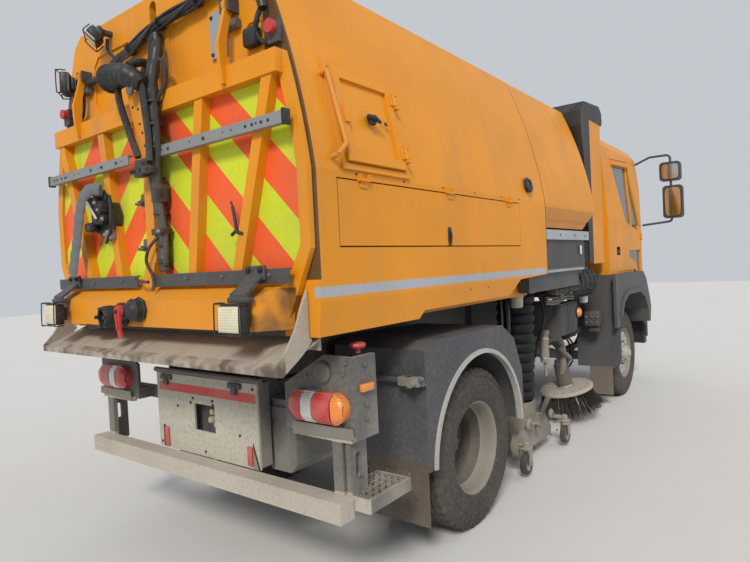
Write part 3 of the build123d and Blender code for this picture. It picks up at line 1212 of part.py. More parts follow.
def ram_parts():
    way = Vector(RAM_EYE[0] - RAM_BASE[0], 0, RAM_EYE[1] - RAM_BASE[1])
    unit = way.normalized()
    base = Vector(RAM_BASE[0], 0, RAM_BASE[1])
    eye = Vector(RAM_EYE[0], 0, RAM_EYE[1])
    mouth = base + unit * (way.length - 90)
    barrel = bar(tuple(base), tuple(mouth), RAM_R)
    barrel += bar((RAM_BASE[0], -50, RAM_BASE[1]), (RAM_BASE[0], 50, RAM_BASE[1]), 54)
    barrel -= bar(tuple(base + unit * 90), tuple(mouth + unit), ROD_R + RUN_GAP)
    barrel -= bar((RAM_BASE[0], -80, RAM_BASE[1]), (RAM_BASE[0], 80, RAM_BASE[1]), RAM_PIN_R + RUN_GAP)
    rod = bar(tuple(base + unit * 92), tuple(eye - unit * 20), ROD_R)
    rod += bar((RAM_EYE[0], -45, RAM_EYE[1]), (RAM_EYE[0], 45, RAM_EYE[1]), RAM_EYE_R)
    return barrel, rod


def locker_flap():
    gap = 7
    flap = block(FLAP_X0 + gap, FLAP_X1 - gap, BELT_Y - FLAP_T, BELT_Y, FLAP_Z0 + gap, FLAP_Z1 - gap)
    grip = Plane(origin=(FLAP_HANDLE_X, BELT_Y - 14, FLAP_Z0 + 62), x_dir=(0, 0, 1), z_dir=(0, 1, 0))
    flap -= extrude(grip * SlotOverall(100, 36), amount=20)
    for x in FLAP_HINGES:
        flap += flap_hinge(x) * hinge_leaf()
    return flap


def side_hatch():
    wide, high = hatch_size()
    gap = 6
    panel = Pos(0, 0, 12) * Box(wide - 2 * gap, high - 2 * gap, 36)
    panel -= Pos(0, 0, 25) * Box(wide - 110, high - 110, 22)
    panel += Pos(40 - wide / 2, 0, 36) * Box(26, 90, 14)
    panel = hatch_plane() * panel
    for x in HATCH_HINGES:
        panel += hatch_hinge(x) * hinge_leaf()
    return panel


def build():
    put("hopper_body", hopper_body())
    put("hopper_floor", hopper_floor())
    put("hopper_front", hopper_front())
    put("discharge_tray", discharge_tray())
    put("header_fittings", *header_fittings())
    put("cable_bundle", cable_bundle())
    put("tail_door", tail_door())
    put("tail_door_rails", *tail_door_rails())
    put("tail_door_fittings", *tail_door_fittings())
    put("chassis_frame", chassis_frame())
    put("frame_brackets", *frame_brackets())
    put("axles_and_springs", *axles_and_springs())
    put("drive_engine", drive_engine())
    put("sweeper_engine_housing", sweeper_engine_housing())
    put("intake_stack", intake_stack())
    put("intake_hood", *intake_hood())
    put("wheel_guards", *wheel_guards())
    put("rear_underrun", rear_underrun())
    put("tail_lamps", *tail_lamps())
    put("front_bumper", front_bumper())
    walls, doors, panes, glass = cab_parts()
    put("cab_shell", walls)
    put("cab_glass", *glass)
    put("cab_interior", *cab_interior())
    put("cab_trim", *cab_trim())
    barrel, rod = ram_parts()
    put("tip_ram_barrel", barrel)
    put("tip_ram_rod", rod)
    put("suction_hoses", *both(suction_hose()))
    for flip in ("left", "right"):
        put("cab_door_" + flip, doors[flip])
        put("door_glass_" + flip, *panes[flip].solids())
        put("locker_flap_" + flip, side(locker_flap(), flip))
        put("side_hatch_" + flip, side(side_hatch(), flip))
        put("rear_wheels_" + flip, side(rear_wheels(), flip))
        put("front_wheel_" + flip, side(front_wheel(), flip))
        put("knuckle_" + flip, side(knuckle(), flip))
        put("brush_arm_" + flip, side(brush_arm(), flip))
        put("side_brush_" + flip, side(side_brush(), flip))
        put("nozzle_" + flip, side(nozzle(), flip))


build()
os.makedirs("parts", exist_ok=True)
for name, shape in NODES.items():
    export_step(shape, "parts/" + name + ".step")
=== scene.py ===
import random
from math import cos, pi, radians, sin, sqrt

import bmesh
import bpy
from mathutils import Matrix, Vector


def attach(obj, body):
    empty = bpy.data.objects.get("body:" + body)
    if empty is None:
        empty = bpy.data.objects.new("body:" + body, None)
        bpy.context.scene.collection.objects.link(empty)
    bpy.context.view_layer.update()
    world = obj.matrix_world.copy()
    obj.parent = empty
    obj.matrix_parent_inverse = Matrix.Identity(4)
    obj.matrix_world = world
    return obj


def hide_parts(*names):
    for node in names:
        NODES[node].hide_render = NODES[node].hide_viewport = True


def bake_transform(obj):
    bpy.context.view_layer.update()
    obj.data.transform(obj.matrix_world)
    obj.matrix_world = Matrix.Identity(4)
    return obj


# Street sweeper truck. Metres, X forward, Y to the left, Z up, zero on the ground in the middle.
# A plain tuple (x, y, z) is a station, with x counted forwards from the rear axle, and a Vector is a
# place in the scene. What both sides have is written for the left, and side -1 mirrors it.

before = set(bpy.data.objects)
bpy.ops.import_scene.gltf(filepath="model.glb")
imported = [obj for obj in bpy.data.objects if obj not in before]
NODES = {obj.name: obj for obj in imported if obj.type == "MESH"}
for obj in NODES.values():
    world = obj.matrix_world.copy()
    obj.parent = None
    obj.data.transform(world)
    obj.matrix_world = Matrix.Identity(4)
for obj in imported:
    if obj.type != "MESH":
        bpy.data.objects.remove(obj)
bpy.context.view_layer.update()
AXLE_X = -1.8525
AXLE_Z = 0.509
FRONT_AXLE = 4.03
CHANCE = random.Random(7)
SIDES = ((1, "left"), (-1, "right"))
BACK, OUT, UP = (-1, 0, 0), (0, 1, 0), (0, 0, 1)

# Camera, solved from the photograph
CAMERA_PLACE = (-5.1155, -2.8611, 1.7076)
CAMERA_TURN = (88.484, 2.79, -52.716)
CAMERA_LENS = 27.35


def at(x, y, z):
    return Vector((x + AXLE_X, y, z))


def link(name, data):
    made = bpy.data.objects.new(name, data)
    bpy.context.scene.collection.objects.link(made)
    return made


def add_camera():
    data = bpy.data.cameras.new("photo_camera")
    data.lens = CAMERA_LENS
    data.sensor_width = 36
    camera = link("photo_camera", data)
    camera.location = CAMERA_PLACE
    camera.rotation_euler = [radians(a) for a in CAMERA_TURN]
    bpy.context.scene.camera = camera


add_camera()

# Colours, linear
ORANGE = (0.76, 0.285, 0.008)
VINYL_RED = (0.88, 0.105, 0.012)
VINYL_YELLOW = (0.62, 0.7, 0.012)
DUST = (0.36, 0.31, 0.25)
MUD = (0.2, 0.165, 0.13)
CONCRETE = (0.46, 0.42, 0.355)
BLACK = (0.018, 0.018, 0.02)
CHARCOAL = (0.045, 0.047, 0.052)
SLATE = (0.055, 0.06, 0.072)
PALE_STRIPE = (0.4, 0.43, 0.48)
CREAM = (0.75, 0.7, 0.52)
RED = (0.55, 0.025, 0.02)
LENS_RED = (0.55, 0.016, 0.016)
AMBER = (0.85, 0.24, 0.02)
WHITE = (0.75, 0.73, 0.68)
SEAM_DIRT = (0.05, 0.028, 0.012)

NOISE_DETAIL = 4.0
BUMP_STRENGTH = 0.4
SHADE = 0.85
DUST_ROUGHNESS = 0.85
MATERIALS = {}


class Finish:
    """A procedural material, built from small steps that each return a socket."""

    def __init__(self, name, roughness=0.5, metallic=0.0, **sockets):
        self.material = MATERIALS[name] = bpy.data.materials.new(name)
        self.material.use_nodes = True
        self.tree = self.material.node_tree
        self.shader = self.tree.nodes["Principled BSDF"]
        sockets.update(Roughness=roughness, Metallic=metallic)
        for socket, value in sockets.items():
            self.shader.inputs[socket.replace("_", " ")].default_value = value
        here = self.node("TexCoord").outputs
        self.place = here["Object"]
        self.x, self.y, self.z = self.node("SeparateXYZ", self.place).outputs
        self.ahead, _, self.up = self.node("SeparateXYZ", here["Normal"]).outputs

    def put(self, value, socket):
        if isinstance(value, bpy.types.NodeSocket):
            self.tree.links.new(value, socket)
        else:
            socket.default_value = (*value, 1) if socket.type == "RGBA" else value

    def node(self, kind, *values, **settings):
        node = self.tree.nodes.new("ShaderNode" + kind)
        for key, value in settings.items():
            setattr(node, key, value)
        for value, socket in zip(values, node.inputs):
            self.put(value, socket)
        return node

    def calc(self, operation, a, b=0.0, clamp=False):
        return self.node("Math", a, b, operation=operation, use_clamp=clamp).outputs[0]

    def times(self, a, b):
        return self.calc("MULTIPLY", a, b)

    def fit(self, value, low, high, new_low=0.0, new_high=1.0):
        return self.node("MapRange", value, low, high, new_low, new_high).outputs[0]

    def mix(self, amount, a, b):
        node = self.node("Mix", data_type="RGBA")
        for value, index in ((amount, 0), (a, 6), (b, 7)):
            self.put(value, node.inputs[index])
        return node.outputs[2]

    def noise(self, scale, low=0.4, high=0.65, stretch=(1, 1, 1)):
        mapping = self.node("Mapping", self.place)
        mapping.inputs["Scale"].default_value = stretch
        node = self.node("TexNoise", mapping.outputs[0])
        node.inputs["Scale"].default_value = scale
        node.inputs["Detail"].default_value = NOISE_DETAIL
        return self.fit(node.outputs["Fac"], low, high)

    def within(self, value, low, high):
        return self.times(self.calc("GREATER_THAN", value, low), self.calc("LESS_THAN", value, high))

    def region(self, x=None, y=None, z=None, wide=None):
        """1 inside a box of stations, widths and heights; wide is a range of distance from the middle."""
        mask = None
        across = self.calc("ABSOLUTE", self.y) if wide else None
        for value, span, shift in ((self.x, x, AXLE_X), (self.y, y, 0), (self.z, z, 0), (across, wide, 0)):
            if span:
                inside = self.within(value, span[0] + shift, span[1] + shift)
                mask = self.times(mask, inside) if mask else inside
        return mask

    def zoned(self, colour, zones):
        """A colour that changes inside boxes, given as (box, colour) pairs."""
        for box, zone_colour in zones:
            colour = self.mix(self.region(**box), colour, zone_colour)
        return colour

    def bump(self, height, distance):
        node = self.node("Bump")
        node.inputs["Strength"].default_value = BUMP_STRENGTH
        node.inputs["Distance"].default_value = distance
        self.put(height, node.inputs["Height"])
        self.put(node.outputs[0], self.shader.inputs["Normal"])

    def finish(self, colour, roughness=None):
        self.put(colour, self.shader.inputs["Base Color"])
        if roughness is not None:
            self.put(roughness, self.shader.inputs["Roughness"])
        return self.material


def weathered(name, colour, roughness=0.45, dust=0.3, dust_colour=DUST, grime=0.25, low=(0.4, 1.6),
              bump=0.0006, zones=(), streaks=0.3, pattern=None, **sockets):
    """Paint or metal with uneven colour, streaks that run down, settled dust and dust thrown up."""
    f = Finish(name, roughness, **sockets)
    patches = f.noise(1.7, 0.3, 0.7)
    base = f.zoned(colour, zones)
    if pattern:
        base = pattern(f, base)
    darker = f.mix(1.0, base, (SHADE, SHADE, SHADE))
    darker.node.blend_type = "MULTIPLY"
    base = f.mix(patches, darker, base)
    fine = f.noise(46, 0.46, 0.72)
    run = f.times(f.noise(5, 0.5, 0.75, (1, 1, 0.12)), f.noise(1.1, 0.42, 0.62))
    base = f.mix(f.times(run, streaks), base, MUD)
    base = f.mix(f.times(fine, grime * 0.5), base, MUD)
    cloud = f.noise(3.2, 0.3, 0.68, (1, 1, 0.6))
    thrown = f.times(f.fit(f.z, low[0], low[1], 1.0, 0.0), cloud)
    settled = f.times(f.fit(f.up, 0.55, 0.95), f.noise(7, 0.28, 0.7))
    mask = f.times(f.calc("ADD", thrown, f.times(settled, 0.55), clamp=True), dust)
    f.bump(f.calc("ADD", fine, f.times(cloud, 2.0)), bump)
    f.finish(f.mix(mask, base, dust_colour), f.calc("ADD", roughness,
                                                    f.times(mask, DUST_ROUGHNESS - roughness)))


BAND = 0.4535


def chevrons(f, base):
    """Red and yellow bands that climb to the middle, on the tail door's skin."""
    rise = f.calc("ADD", f.z, f.calc("ABSOLUTE", f.y))
    turn = f.calc("FRACT", f.calc("DIVIDE", f.calc("ADD", rise, BAND * 6 - 2.102), BAND))
    band = f.mix(f.calc("LESS_THAN", turn, 0.5), VINYL_YELLOW, VINYL_RED)
    band = f.mix(f.times(f.noise(90, 0.35, 0.65), 0.05), band, WHITE)
    skin = f.times(f.region(x=(-1.4625, -1.4575), z=(1.7, 2.6)), f.calc("LESS_THAN", f.ahead, -0.8))
    smudge = f.times(f.region(wide=(0.9, 1.06), z=(1.43, 1.63)), f.noise(5.5, 0.38, 0.62))
    return f.mix(skin, f.mix(f.times(smudge, 0.75), base, (0.07, 0.045, 0.03)), band)


def rolled_rim(f, base):
    """The pale bead round each rear wheel arch."""
    across = f.calc("POWER", f.calc("SUBTRACT", f.x, AXLE_X), 2.0)
    upward = f.calc("POWER", f.calc("SUBTRACT", f.z, 0.539), 2.0)
    away = f.calc("SQRT", f.calc("ADD", across, upward))
    bead = f.times(f.within(away, 0.573, 0.6085), f.calc("GREATER_THAN", f.calc("ABSOLUTE", f.y), 1.14))
    return f.mix(bead, base, (0.46, 0.45, 0.43))


def tray_streaks(f, base):
    """Rust and wet marks along the tray, and its dark edge."""
    base = f.mix(f.times(f.noise(3.4, 0.48, 0.66, (0.5, 5, 0.5)), 0.45), base, (0.15, 0.13, 0.105))
    return f.mix(f.times(f.region(x=(-1.66, -1.6)), f.noise(9, 0.4, 0.6)), base, (0.09, 0.06, 0.045))


def lens(name, colour, dirt=0.35, cells=90.0, zones=()):
    """Moulded lamp plastic with a fine pattern of flutes and a film of dust."""
    f = Finish(name, 0.22, Coat_Weight=0.5, Coat_Roughness=0.08)
    colour = f.zoned(colour, zones)
    flutes = f.calc("SINE", f.times(f.z, cells * 6))
    film = f.times(f.noise(14, 0.35, 0.7), dirt)
    tone = f.mix(f.fit(flutes, -1, 1, 0.0, 0.16), colour, (0.05, 0.04, 0.04))
    f.bump(flutes, 0.001)
    f.finish(f.mix(film, tone, DUST), f.fit(film, 0.0, 0.35, 0.2, 0.65))


def mirror_glass():
    f = Finish("mirror", 0.04, 1.0, Coat_Weight=0.6, Coat_Roughness=0.03)
    film = f.noise(2.4, 0.35, 0.75, (1, 1, 0.7))
    f.finish(f.mix(f.times(film, 0.22), (0.62, 0.66, 0.68), (0.2, 0.2, 0.19)), f.fit(film, 0, 1, 0.04, 0.19))


def window_glass():
    f = Finish("window", 0.06, Transmission_Weight=0.82, IOR=1.45)
    film = f.noise(3, 0.35, 0.8, (1, 1, 0.5))
    f.finish(f.mix(film, (0.3, 0.36, 0.37), (0.4, 0.42, 0.4)), f.fit(film, 0, 1, 0.05, 0.22))


PAINT = dict(roughness=0.42, dust=0.2, dust_colour=(0.36, 0.22, 0.09), grime=0.22, low=(1.3, 2.3),
             streaks=0.32, Coat_Weight=0.08, Coat_Roughness=0.15, Specular_IOR_Level=0.22)

weathered("paint", ORANGE, **PAINT)
weathered("hopper", ORANGE, zones=[
    (dict(z=(1.579, 1.627), wide=(1.135, 1.21), x=(-1.45, 1.24)), PALE_STRIPE),
    (dict(x=(1.27, 1.3), z=(1.4, 3.3)), SEAM_DIRT),
    (dict(x=(-1.45, -1.428), z=(1.66, 2.98), wide=(0.9, 1.3)), (0.12, 0.06, 0.02))], **PAINT)
weathered("hopper_front", ORANGE, zones=[(dict(x=(1.27, 1.29), z=(1.9, 3.3)), SEAM_DIRT)], **PAINT)
weathered("tail_door", ORANGE, pattern=chevrons, **PAINT)
weathered("cab", ORANGE, zones=[
    (dict(x=(5.09, 5.195), z=(1.52, 1.75), wide=(0.5, 1.3)), BLACK),
    (dict(x=(5.385, 5.45), z=(1.17, 1.5), wide=(-1, 0.9)), BLACK),
    (dict(x=(5.2, 5.45), z=(1.8, 1.807)), SEAM_DIRT),
    (dict(x=(5.2, 5.45), z=(1.548, 1.554)), SEAM_DIRT),
    (dict(x=(3.4, 5.2), z=(0.7, 1.215), wide=(0.0, 1.3)), CHARCOAL)], **PAINT)
weathered("door", ORANGE, zones=[
    (dict(x=(3.825, 3.975), z=(1.695, 1.795), wide=(0.8, 1.3)), BLACK),
    (dict(z=(1.0, 1.21), wide=(0.8, 1.3)), CHARCOAL)], **PAINT)
weathered("tray", (0.42, 0.37, 0.305), 0.75, 0.5, DUST, 0.5, (1.0, 2.0), 0.002, pattern=tray_streaks)
weathered("rails", (0.3, 0.31, 0.31), 0.48, 0.3, (0.1, 0.095, 0.09), 0.5, (1.5, 1.9), metallic=0.35,
          streaks=0.4, zones=[(dict(z=(1.6, 1.8)), (0.085, 0.085, 0.088))])
weathered("underrun", (0.085, 0.088, 0.09), 0.7, 0.8, CONCRETE, 0.9, (0.3, 1.35), 0.002, zones=[
    (dict(x=(-1.35, -1.23), z=(0.5, 0.64)), CONCRETE),
    (dict(x=(-1.245, -1.226), y=(-0.48, 0.48), z=(0.62, 1.11)), (0.46, 0.44, 0.365)),
    (dict(x=(-1.26, -1.22), wide=(0.74, 1.16), z=(0.878, 0.91)), CONCRETE),
    (dict(x=(-1.245, -1.226), y=(-0.468, 0.45), z=(0.992, 1.045)), (0.62, 0.035, 0.035))])
weathered("guards", SLATE, 0.55, 0.6, (0.18, 0.165, 0.15), 0.5, (0.1, 1.25), 0.002, pattern=rolled_rim,
          zones=[
    (dict(x=(-0.67, -0.64), z=(0.2, 0.6)), (0.075, 0.05, 0.032)),
    (dict(x=(3.37, 3.4), z=(0.1, 0.45)), (0.16, 0.125, 0.1))])
weathered("chassis", CHARCOAL, 0.6, 0.75, MUD, 0.6, (0.3, 1.7), 0.002)
weathered("machinery", (0.1, 0.095, 0.09), 0.65, 0.85, DUST, 0.6, (0.2, 1.5), 0.003)
weathered("nozzle", (0.22, 0.2, 0.17), 0.7, 0.8, DUST, 0.6, (0.0, 0.9), 0.003)
weathered("housing", (0.05, 0.055, 0.065), 0.5, 0.5, (0.14, 0.125, 0.11), 0.4, (0.9, 2.0), zones=[
    (dict(z=(1.862, 1.95), wide=(1.084, 1.12)), PALE_STRIPE),
    (dict(z=(1.576, 1.617), wide=(1.084, 1.12)), PALE_STRIPE),
    (dict(z=(1.62, 1.86), wide=(1.0, 1.12)), (0.035, 0.037, 0.045)),
    (dict(x=(2.4, 3.02), z=(1.28, 1.6)), (0.028, 0.03, 0.034))])
weathered("black", (0.012, 0.012, 0.014), 0.5, 0.3, (0.07, 0.066, 0.06), 0.25, (0.6, 1.9), 0.001)
weathered("wings", CHARCOAL, 0.5, 0.45, (0.16, 0.15, 0.14), 0.35, (0.6, 1.9), 0.0012)
weathered("header", CHARCOAL, 0.5, 0.35, MUD, 0.3, (2.0, 3.3), zones=[
    (dict(x=(-1.6, -1.43), wide=(0.665, 0.745), z=(2.84, 2.93)), ORANGE),
    (dict(x=(-1.46, -1.43), y=(-0.655, -0.525), z=(2.76, 2.99)), (0.3, 0.33, 0.36)),
    (dict(x=(-1.35, -1.2), wide=(0.9, 1.3), z=(2.1, 2.7)), ORANGE),
    (dict(x=(-1.51, -1.467), wide=(0.94, 1.03), z=(2.7, 2.86)), RED)])
weathered("tyre", (0.035, 0.033, 0.032), 0.85, 0.75, (0.13, 0.105, 0.085), 0.6, (-0.6, 1.3), 0.002,
          streaks=0.0)
# The rim's two zones round the rear axle are painted shade in the wheels' deep dish: darkest round the disc
# and inner rim, less dark part way out.
weathered("rim", (0.23, 0.21, 0.18), 0.6, 0.35, DUST, 0.5, (-0.4, 1.2), 0.002, streaks=0.1, zones=[
    (dict(wide=(0.4, 0.955), x=(-0.3, 0.3), z=(0.2, 0.8)), (0.055, 0.048, 0.042)),
    (dict(wide=(0.955, 1.025), x=(-0.3, 0.3), z=(0.2, 0.8)), (0.1, 0.09, 0.077))])
weathered("hub", (0.13, 0.09, 0.065), 0.75, 0.5, MUD, 0.6, (-0.4, 1.2), 0.003)
weathered("pale_hub", (0.42, 0.41, 0.38), 0.6, 0.5, DUST, 0.4, (-0.4, 1.2), 0.002)
weathered("hose", (0.006, 0.007, 0.009), 0.55, 0.12, (0.06, 0.055, 0.05), 0.06, (0.2, 1.5), 0.001,
          streaks=0.05, Specular_IOR_Level=0.25)
weathered("cable", (0.012, 0.012, 0.014), 0.42, 0.25, MUD, 0.2, (1.5, 3.4), 0.001)
weathered("disc", (0.42, 0.39, 0.345), 0.75, 0.7, DUST, 0.5, (-0.5, 0.9), 0.003)
weathered("bristle", (0.028, 0.024, 0.022), 0.6, 0.25, MUD, 0.2, (-0.2, 0.5))
weathered("band", (0.5, 0.49, 0.46), 0.38, 0.4, DUST, 0.4, (0.2, 1.6), metallic=0.8)
weathered("bolt", (0.2, 0.19, 0.18), 0.5, 0.4, DUST, 0.5, (0.2, 1.6), metallic=0.6)
weathered("dark_bolt", (0.02, 0.018, 0.016), 0.55, 0.2, MUD, 0.3, (0.2, 1.6))
weathered("sleeve", (0.13, 0.14, 0.155), 0.55, 0.3, (0.22, 0.22, 0.22), 0.4, (1.4, 2.6), 0.002)
weathered("seat", (0.035, 0.037, 0.045), 0.9, 0.2, (0.09, 0.085, 0.08), 0.3, (1.4, 2.6), 0.0015,
          Sheen_Weight=0.4)
weathered("interior", (0.06, 0.06, 0.065), 0.75, 0.2, (0.12, 0.11, 0.1), 0.2, (1.1, 2.2))
weathered("ram", (0.62, 0.62, 0.62), 0.16, 0.15, MUD, 0.2, (0.3, 1.2), metallic=1.0)
weathered("red", RED, 0.4, 0.4, MUD, 0.3, (0.6, 2.2))
weathered("straw", (0.55, 0.5, 0.36), 0.45, 0.5, DUST, 0.4, (0.6, 2.0))
window_glass()
mirror_glass()
lens("cream_lens", CREAM, 0.3)
lens("red_lens", LENS_RED, 0.3)
lens("tail_lens", LENS_RED, zones=[(dict(wide=(1.064, 1.2)), AMBER), (dict(wide=(0.873, 0.947)), WHITE)])
lens("amber_lens", AMBER, 0.25)
lens("clear_lens", (0.72, 0.72, 0.7), 0.3)
lens("reflector", (0.6, 0.03, 0.03), 0.45, 200.0)

# The CAD nodes of each finish. A name that ends in _ stands for left and right.
NODE_FINISH = {
    "paint": "side_hatch_ locker_flap_ intake_stack", "hopper": "hopper_body",
    "hopper_front": "hopper_front",
    "tail_door": "tail_door", "tray": "discharge_tray", "rails": "tail_door_rails",
    "underrun": "rear_underrun",
    "guards": "wheel_guards",
    "chassis": "hopper_floor chassis_frame frame_brackets brush_arm_ tip_ram_barrel",
    "machinery": "axles_and_springs drive_engine knuckle_", "nozzle": "nozzle_", "cab": "cab_shell",
    "housing": "sweeper_engine_housing", "black": "intake_hood front_bumper tail_door_fittings",
    "wings": "cab_trim", "door": "cab_door_", "header": "header_fittings", "tail_lens": "tail_lamps",
    "interior": "cab_interior", "window": "cab_glass door_glass_", "ram": "tip_ram_rod",
    "disc": "side_brush_",
    "hose": "suction_hoses", "tyre": "front_wheel_ rear_wheels_", "cable": "cable_bundle",
}


def dress_nodes():
    for finish, names in NODE_FINISH.items():
        for name in names.split():
            for ending in ("left", "right") if name.endswith("_") else ("",):
                for place in NODES[name + ending].material_slots:
                    place.material = MATERIALS[finish]


dress_nodes()


def circle(count, radius=1.0, start=0.0, across=Vector((1, 0, 0)), up=Vector(UP)):
    """Even steps round a circle, as vectors from its middle."""
    for k in range(count):
        angle = 2 * pi * (k + start) / count
        yield (across * cos(angle) + up * sin(angle)) * radius


def square_to(axis):
    """The axis at length one, with two directions square to it."""
    axis = axis.normalized()
    side = axis.orthogonal().normalized()
    return axis, side, axis.cross(side)


def heading(path, k):
    return (path[min(k + 1, len(path) - 1)] - path[max(k - 1, 0)]).normalized()


def final_mesh(made):
    """The mesh of an object with its modifiers applied."""
    bpy.context.view_layer.update()
    return bpy.data.meshes.new_from_object(made.evaluated_get(bpy.context.evaluated_depsgraph_get()))


class Piece:
    """Collects mesh parts, then becomes one object, which rides on a body when one is given."""

    def __init__(self, name, finishes, side=1):
        self.name = name
        self.finishes = finishes.split()
        self.side = side
        self.mesh = bmesh.new()
        self.using = 0

    def way(self, direction):
        """A direction on this side of the truck."""
        x, y, z = direction
        return direction if isinstance(direction, Vector) else Vector((x, y * self.side, z))

    def spot(self, place):
        """A place in the scene for a station on this side of the truck."""
        return place if isinstance(place, Vector) else self.way(place) + Vector((AXLE_X, 0, 0))

    def use(self, finish):
        self.using = self.finishes.index(finish)
        return self

    def faces(self, points, loops):
        made = [self.mesh.verts.new(p) for p in points]
        for loop in loops:
            self.mesh.faces.new([made[i] for i in loop]).material_index = self.using

    def take(self, other, matrix=Matrix.Identity(4)):
        other.verts.index_update()
        self.faces([matrix @ v.co for v in other.verts], [[v.index for v in f.verts] for f in other.faces])
        other.free()

    def box(self, low, high, bevel=0.004, turn=Matrix.Identity(4)):
        """A bevelled block between two corners; turn is a rotation about its middle."""
        low, high = self.spot(low), self.spot(high)
        part = bmesh.new()
        bmesh.ops.create_cube(part, size=1)
        size = [abs(h - l) for h, l in zip(high, low)]
        bmesh.ops.scale(part, vec=size, verts=part.verts)
        bmesh.ops.bevel(part, geom=part.edges, offset=min(bevel, min(size) * 0.45), segments=2,
                        affect="EDGES", profile=0.5)
        self.take(part, Matrix.Translation((low + high) / 2) @ turn)

    def lathe(self, profile, origin, axis, steps=32, shape=None, closed=False):
        """Turns (radius, height) points about an axis and caps both ends, or joins them when closed.
        shape may change a radius by point and step."""
        axis, side, other = square_to(self.way(axis))
        origin, count = self.spot(origin), len(profile)
        points, loops = [], []
        for k, out in enumerate(circle(steps, 1, 0, side, other)):
            for i, (radius, height) in enumerate(profile):
                radius += shape(i, k) if shape else 0
                points.append(origin + out * radius + axis * height)
            a, b = k * count, (k + 1) % steps * count
            for i in range(count if closed else count - 1):
                j = (i + 1) % count
                loops.append((a + i, a + j, b + j, b + i))
        if not closed:
            loops.append([k * count for k in range(steps)])
            loops.append([k * count + count - 1 for k in reversed(range(steps))])
        self.faces(points, loops)

    def ring(self, profile, origin, axis, steps=48, shape=None):
        self.lathe(profile, origin, axis, steps, shape, True)

    def band(self, origin, axis, inner, outer, half, steps):
        """A flat hoop."""
        self.ring([(inner, -half), (outer, -half), (outer, half), (inner, half)], origin, axis, steps)

    def pin(self, origin, axis, radius, length, steps=12, core=0.004):
        self.lathe([(core, 0), (radius, 0), (radius, length), (core, length)], origin, axis, steps)

    def rivet(self, origin, axis, radius):
        self.lathe([(0.001, 0), (radius, 0), (radius - 0.001, 0.003), (0.001, 0.0035)], origin, axis, 10)

    def skin(self, points, sides):
        """Joins rings of points into a tube with capped ends."""
        rows = len(points) // sides
        loops = []
        for k in range(rows - 1):
            a, b = k * sides, (k + 1) * sides
            for i in range(sides):
                j = (i + 1) % sides
                loops.append((a + i, a + j, b + j, b + i))
        loops += [list(reversed(range(sides))), [(rows - 1) * sides + i for i in range(sides)]]
        self.faces(points, loops)

    def tube(self, path, radius, sides=8):
        """A tube along points, with one radius or one for each point."""
        path = [self.spot(p) for p in path]
        radii = radius if isinstance(radius, list) else [radius] * len(path)
        points = []
        normal = heading(path, 0).orthogonal()
        for k, place in enumerate(path):
            ahead = heading(path, k)
            normal = (normal - ahead * normal.dot(ahead)).normalized()
            points += [place + ray for ray in circle(sides, radii[k], 0, normal, ahead.cross(normal))]
        self.skin(points, sides)

    def smooth(self, points, count=8):
        """Rounds off a short list of points for pipes and wires of one piece."""
        points = [self.spot(p) for p in points]
        ends = [points[0]] + points + [points[-1]]
        path = []
        for k in range(1, len(ends) - 2):
            a, b, c, d = ends[k - 1:k + 3]
            for t in [i / count for i in range(count)]:
                path.append(0.5 * ((2 * b) + (c - a) * t + (2 * a - 5 * b + 4 * c - d) * t ** 2
                                   + (3 * b - a - 3 * c + d) * t ** 3))
        return path + [points[-1]]

    def pipe(self, points, radius, sides=8, count=8):
        self.tube(self.smooth(points, count), radius, sides)

    def slab(self, outline, depth):
        """A flat plate from an outline of points, thickened by depth."""
        outline = [self.spot(p) for p in outline]
        count = len(outline)
        loops = [list(range(count)), [count + i for i in reversed(range(count))]]
        for i in range(count):
            j = (i + 1) % count
            loops.append((i, count + i, count + j, j))
        self.faces(outline + [p + self.way(depth) for p in outline], loops)

    def plate(self, x, outline, thick):
        """A plate across the truck from its (y, z) corners."""
        self.slab([(x, y, z) for y, z in outline], (thick, 0, 0))

    def bolt(self, place, axis, size=0.012):
        """A hexagon head on a washer with a short thread end."""
        washer = [(0.2, 0), (1.25, 0), (1.25, 0.22), (0.2, 0.22)]
        head = [(0.1, 0.2), (1, 0.2), (1, 0.75), (0.82, 0.9), (0.1, 0.9)]
        thread = [(0.1, 0.8), (0.45, 0.8), (0.45, 1.3), (0.1, 1.3)]
        for profile, steps in ((washer, 14), (head, 6), (thread, 8)):
            self.lathe([(r * size, h * size) for r, h in profile], place, axis, steps)

    def bolts(self, size, x, *places):
        """Bolts that face backwards, at (y, z) places."""
        for y, z in places:
            self.bolt((x, y, z), BACK, size)

    def build(self):
        """The object itself, not yet on a body."""
        bmesh.ops.remove_doubles(self.mesh, verts=self.mesh.verts, dist=1e-6)
        bmesh.ops.recalc_face_normals(self.mesh, faces=self.mesh.faces)
        data = bpy.data.meshes.new(self.name)
        self.mesh.to_mesh(data)
        self.mesh.free()
        return link(self.name, data)

    def done(self, body, slot, *replaces, smooth=32):
        made = self.build()
        made.data.shade_smooth()
        made.data.set_sharp_from_angle(angle=radians(smooth))
        for finish in self.finishes:
            made.data.materials.append(MATERIALS[finish])
        if body:
            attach(made, body)
        if replaces:
            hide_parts(*replaces)
        return made


# Cable bundle on the header: the route is repeated from the part's source
CABLE_X = -1.47
CABLE_R = 0.022
CABLE_ROUTE = [(0.655, 2.925), (0.48, 2.915), (0.3, 2.975), (0.09, 3.01), (-0.11, 3.06), (-0.33, 3.055),
               (-0.56, 3.09), (-0.8, 3.105), (-0.905, 3.01), (-0.935, 2.89)]


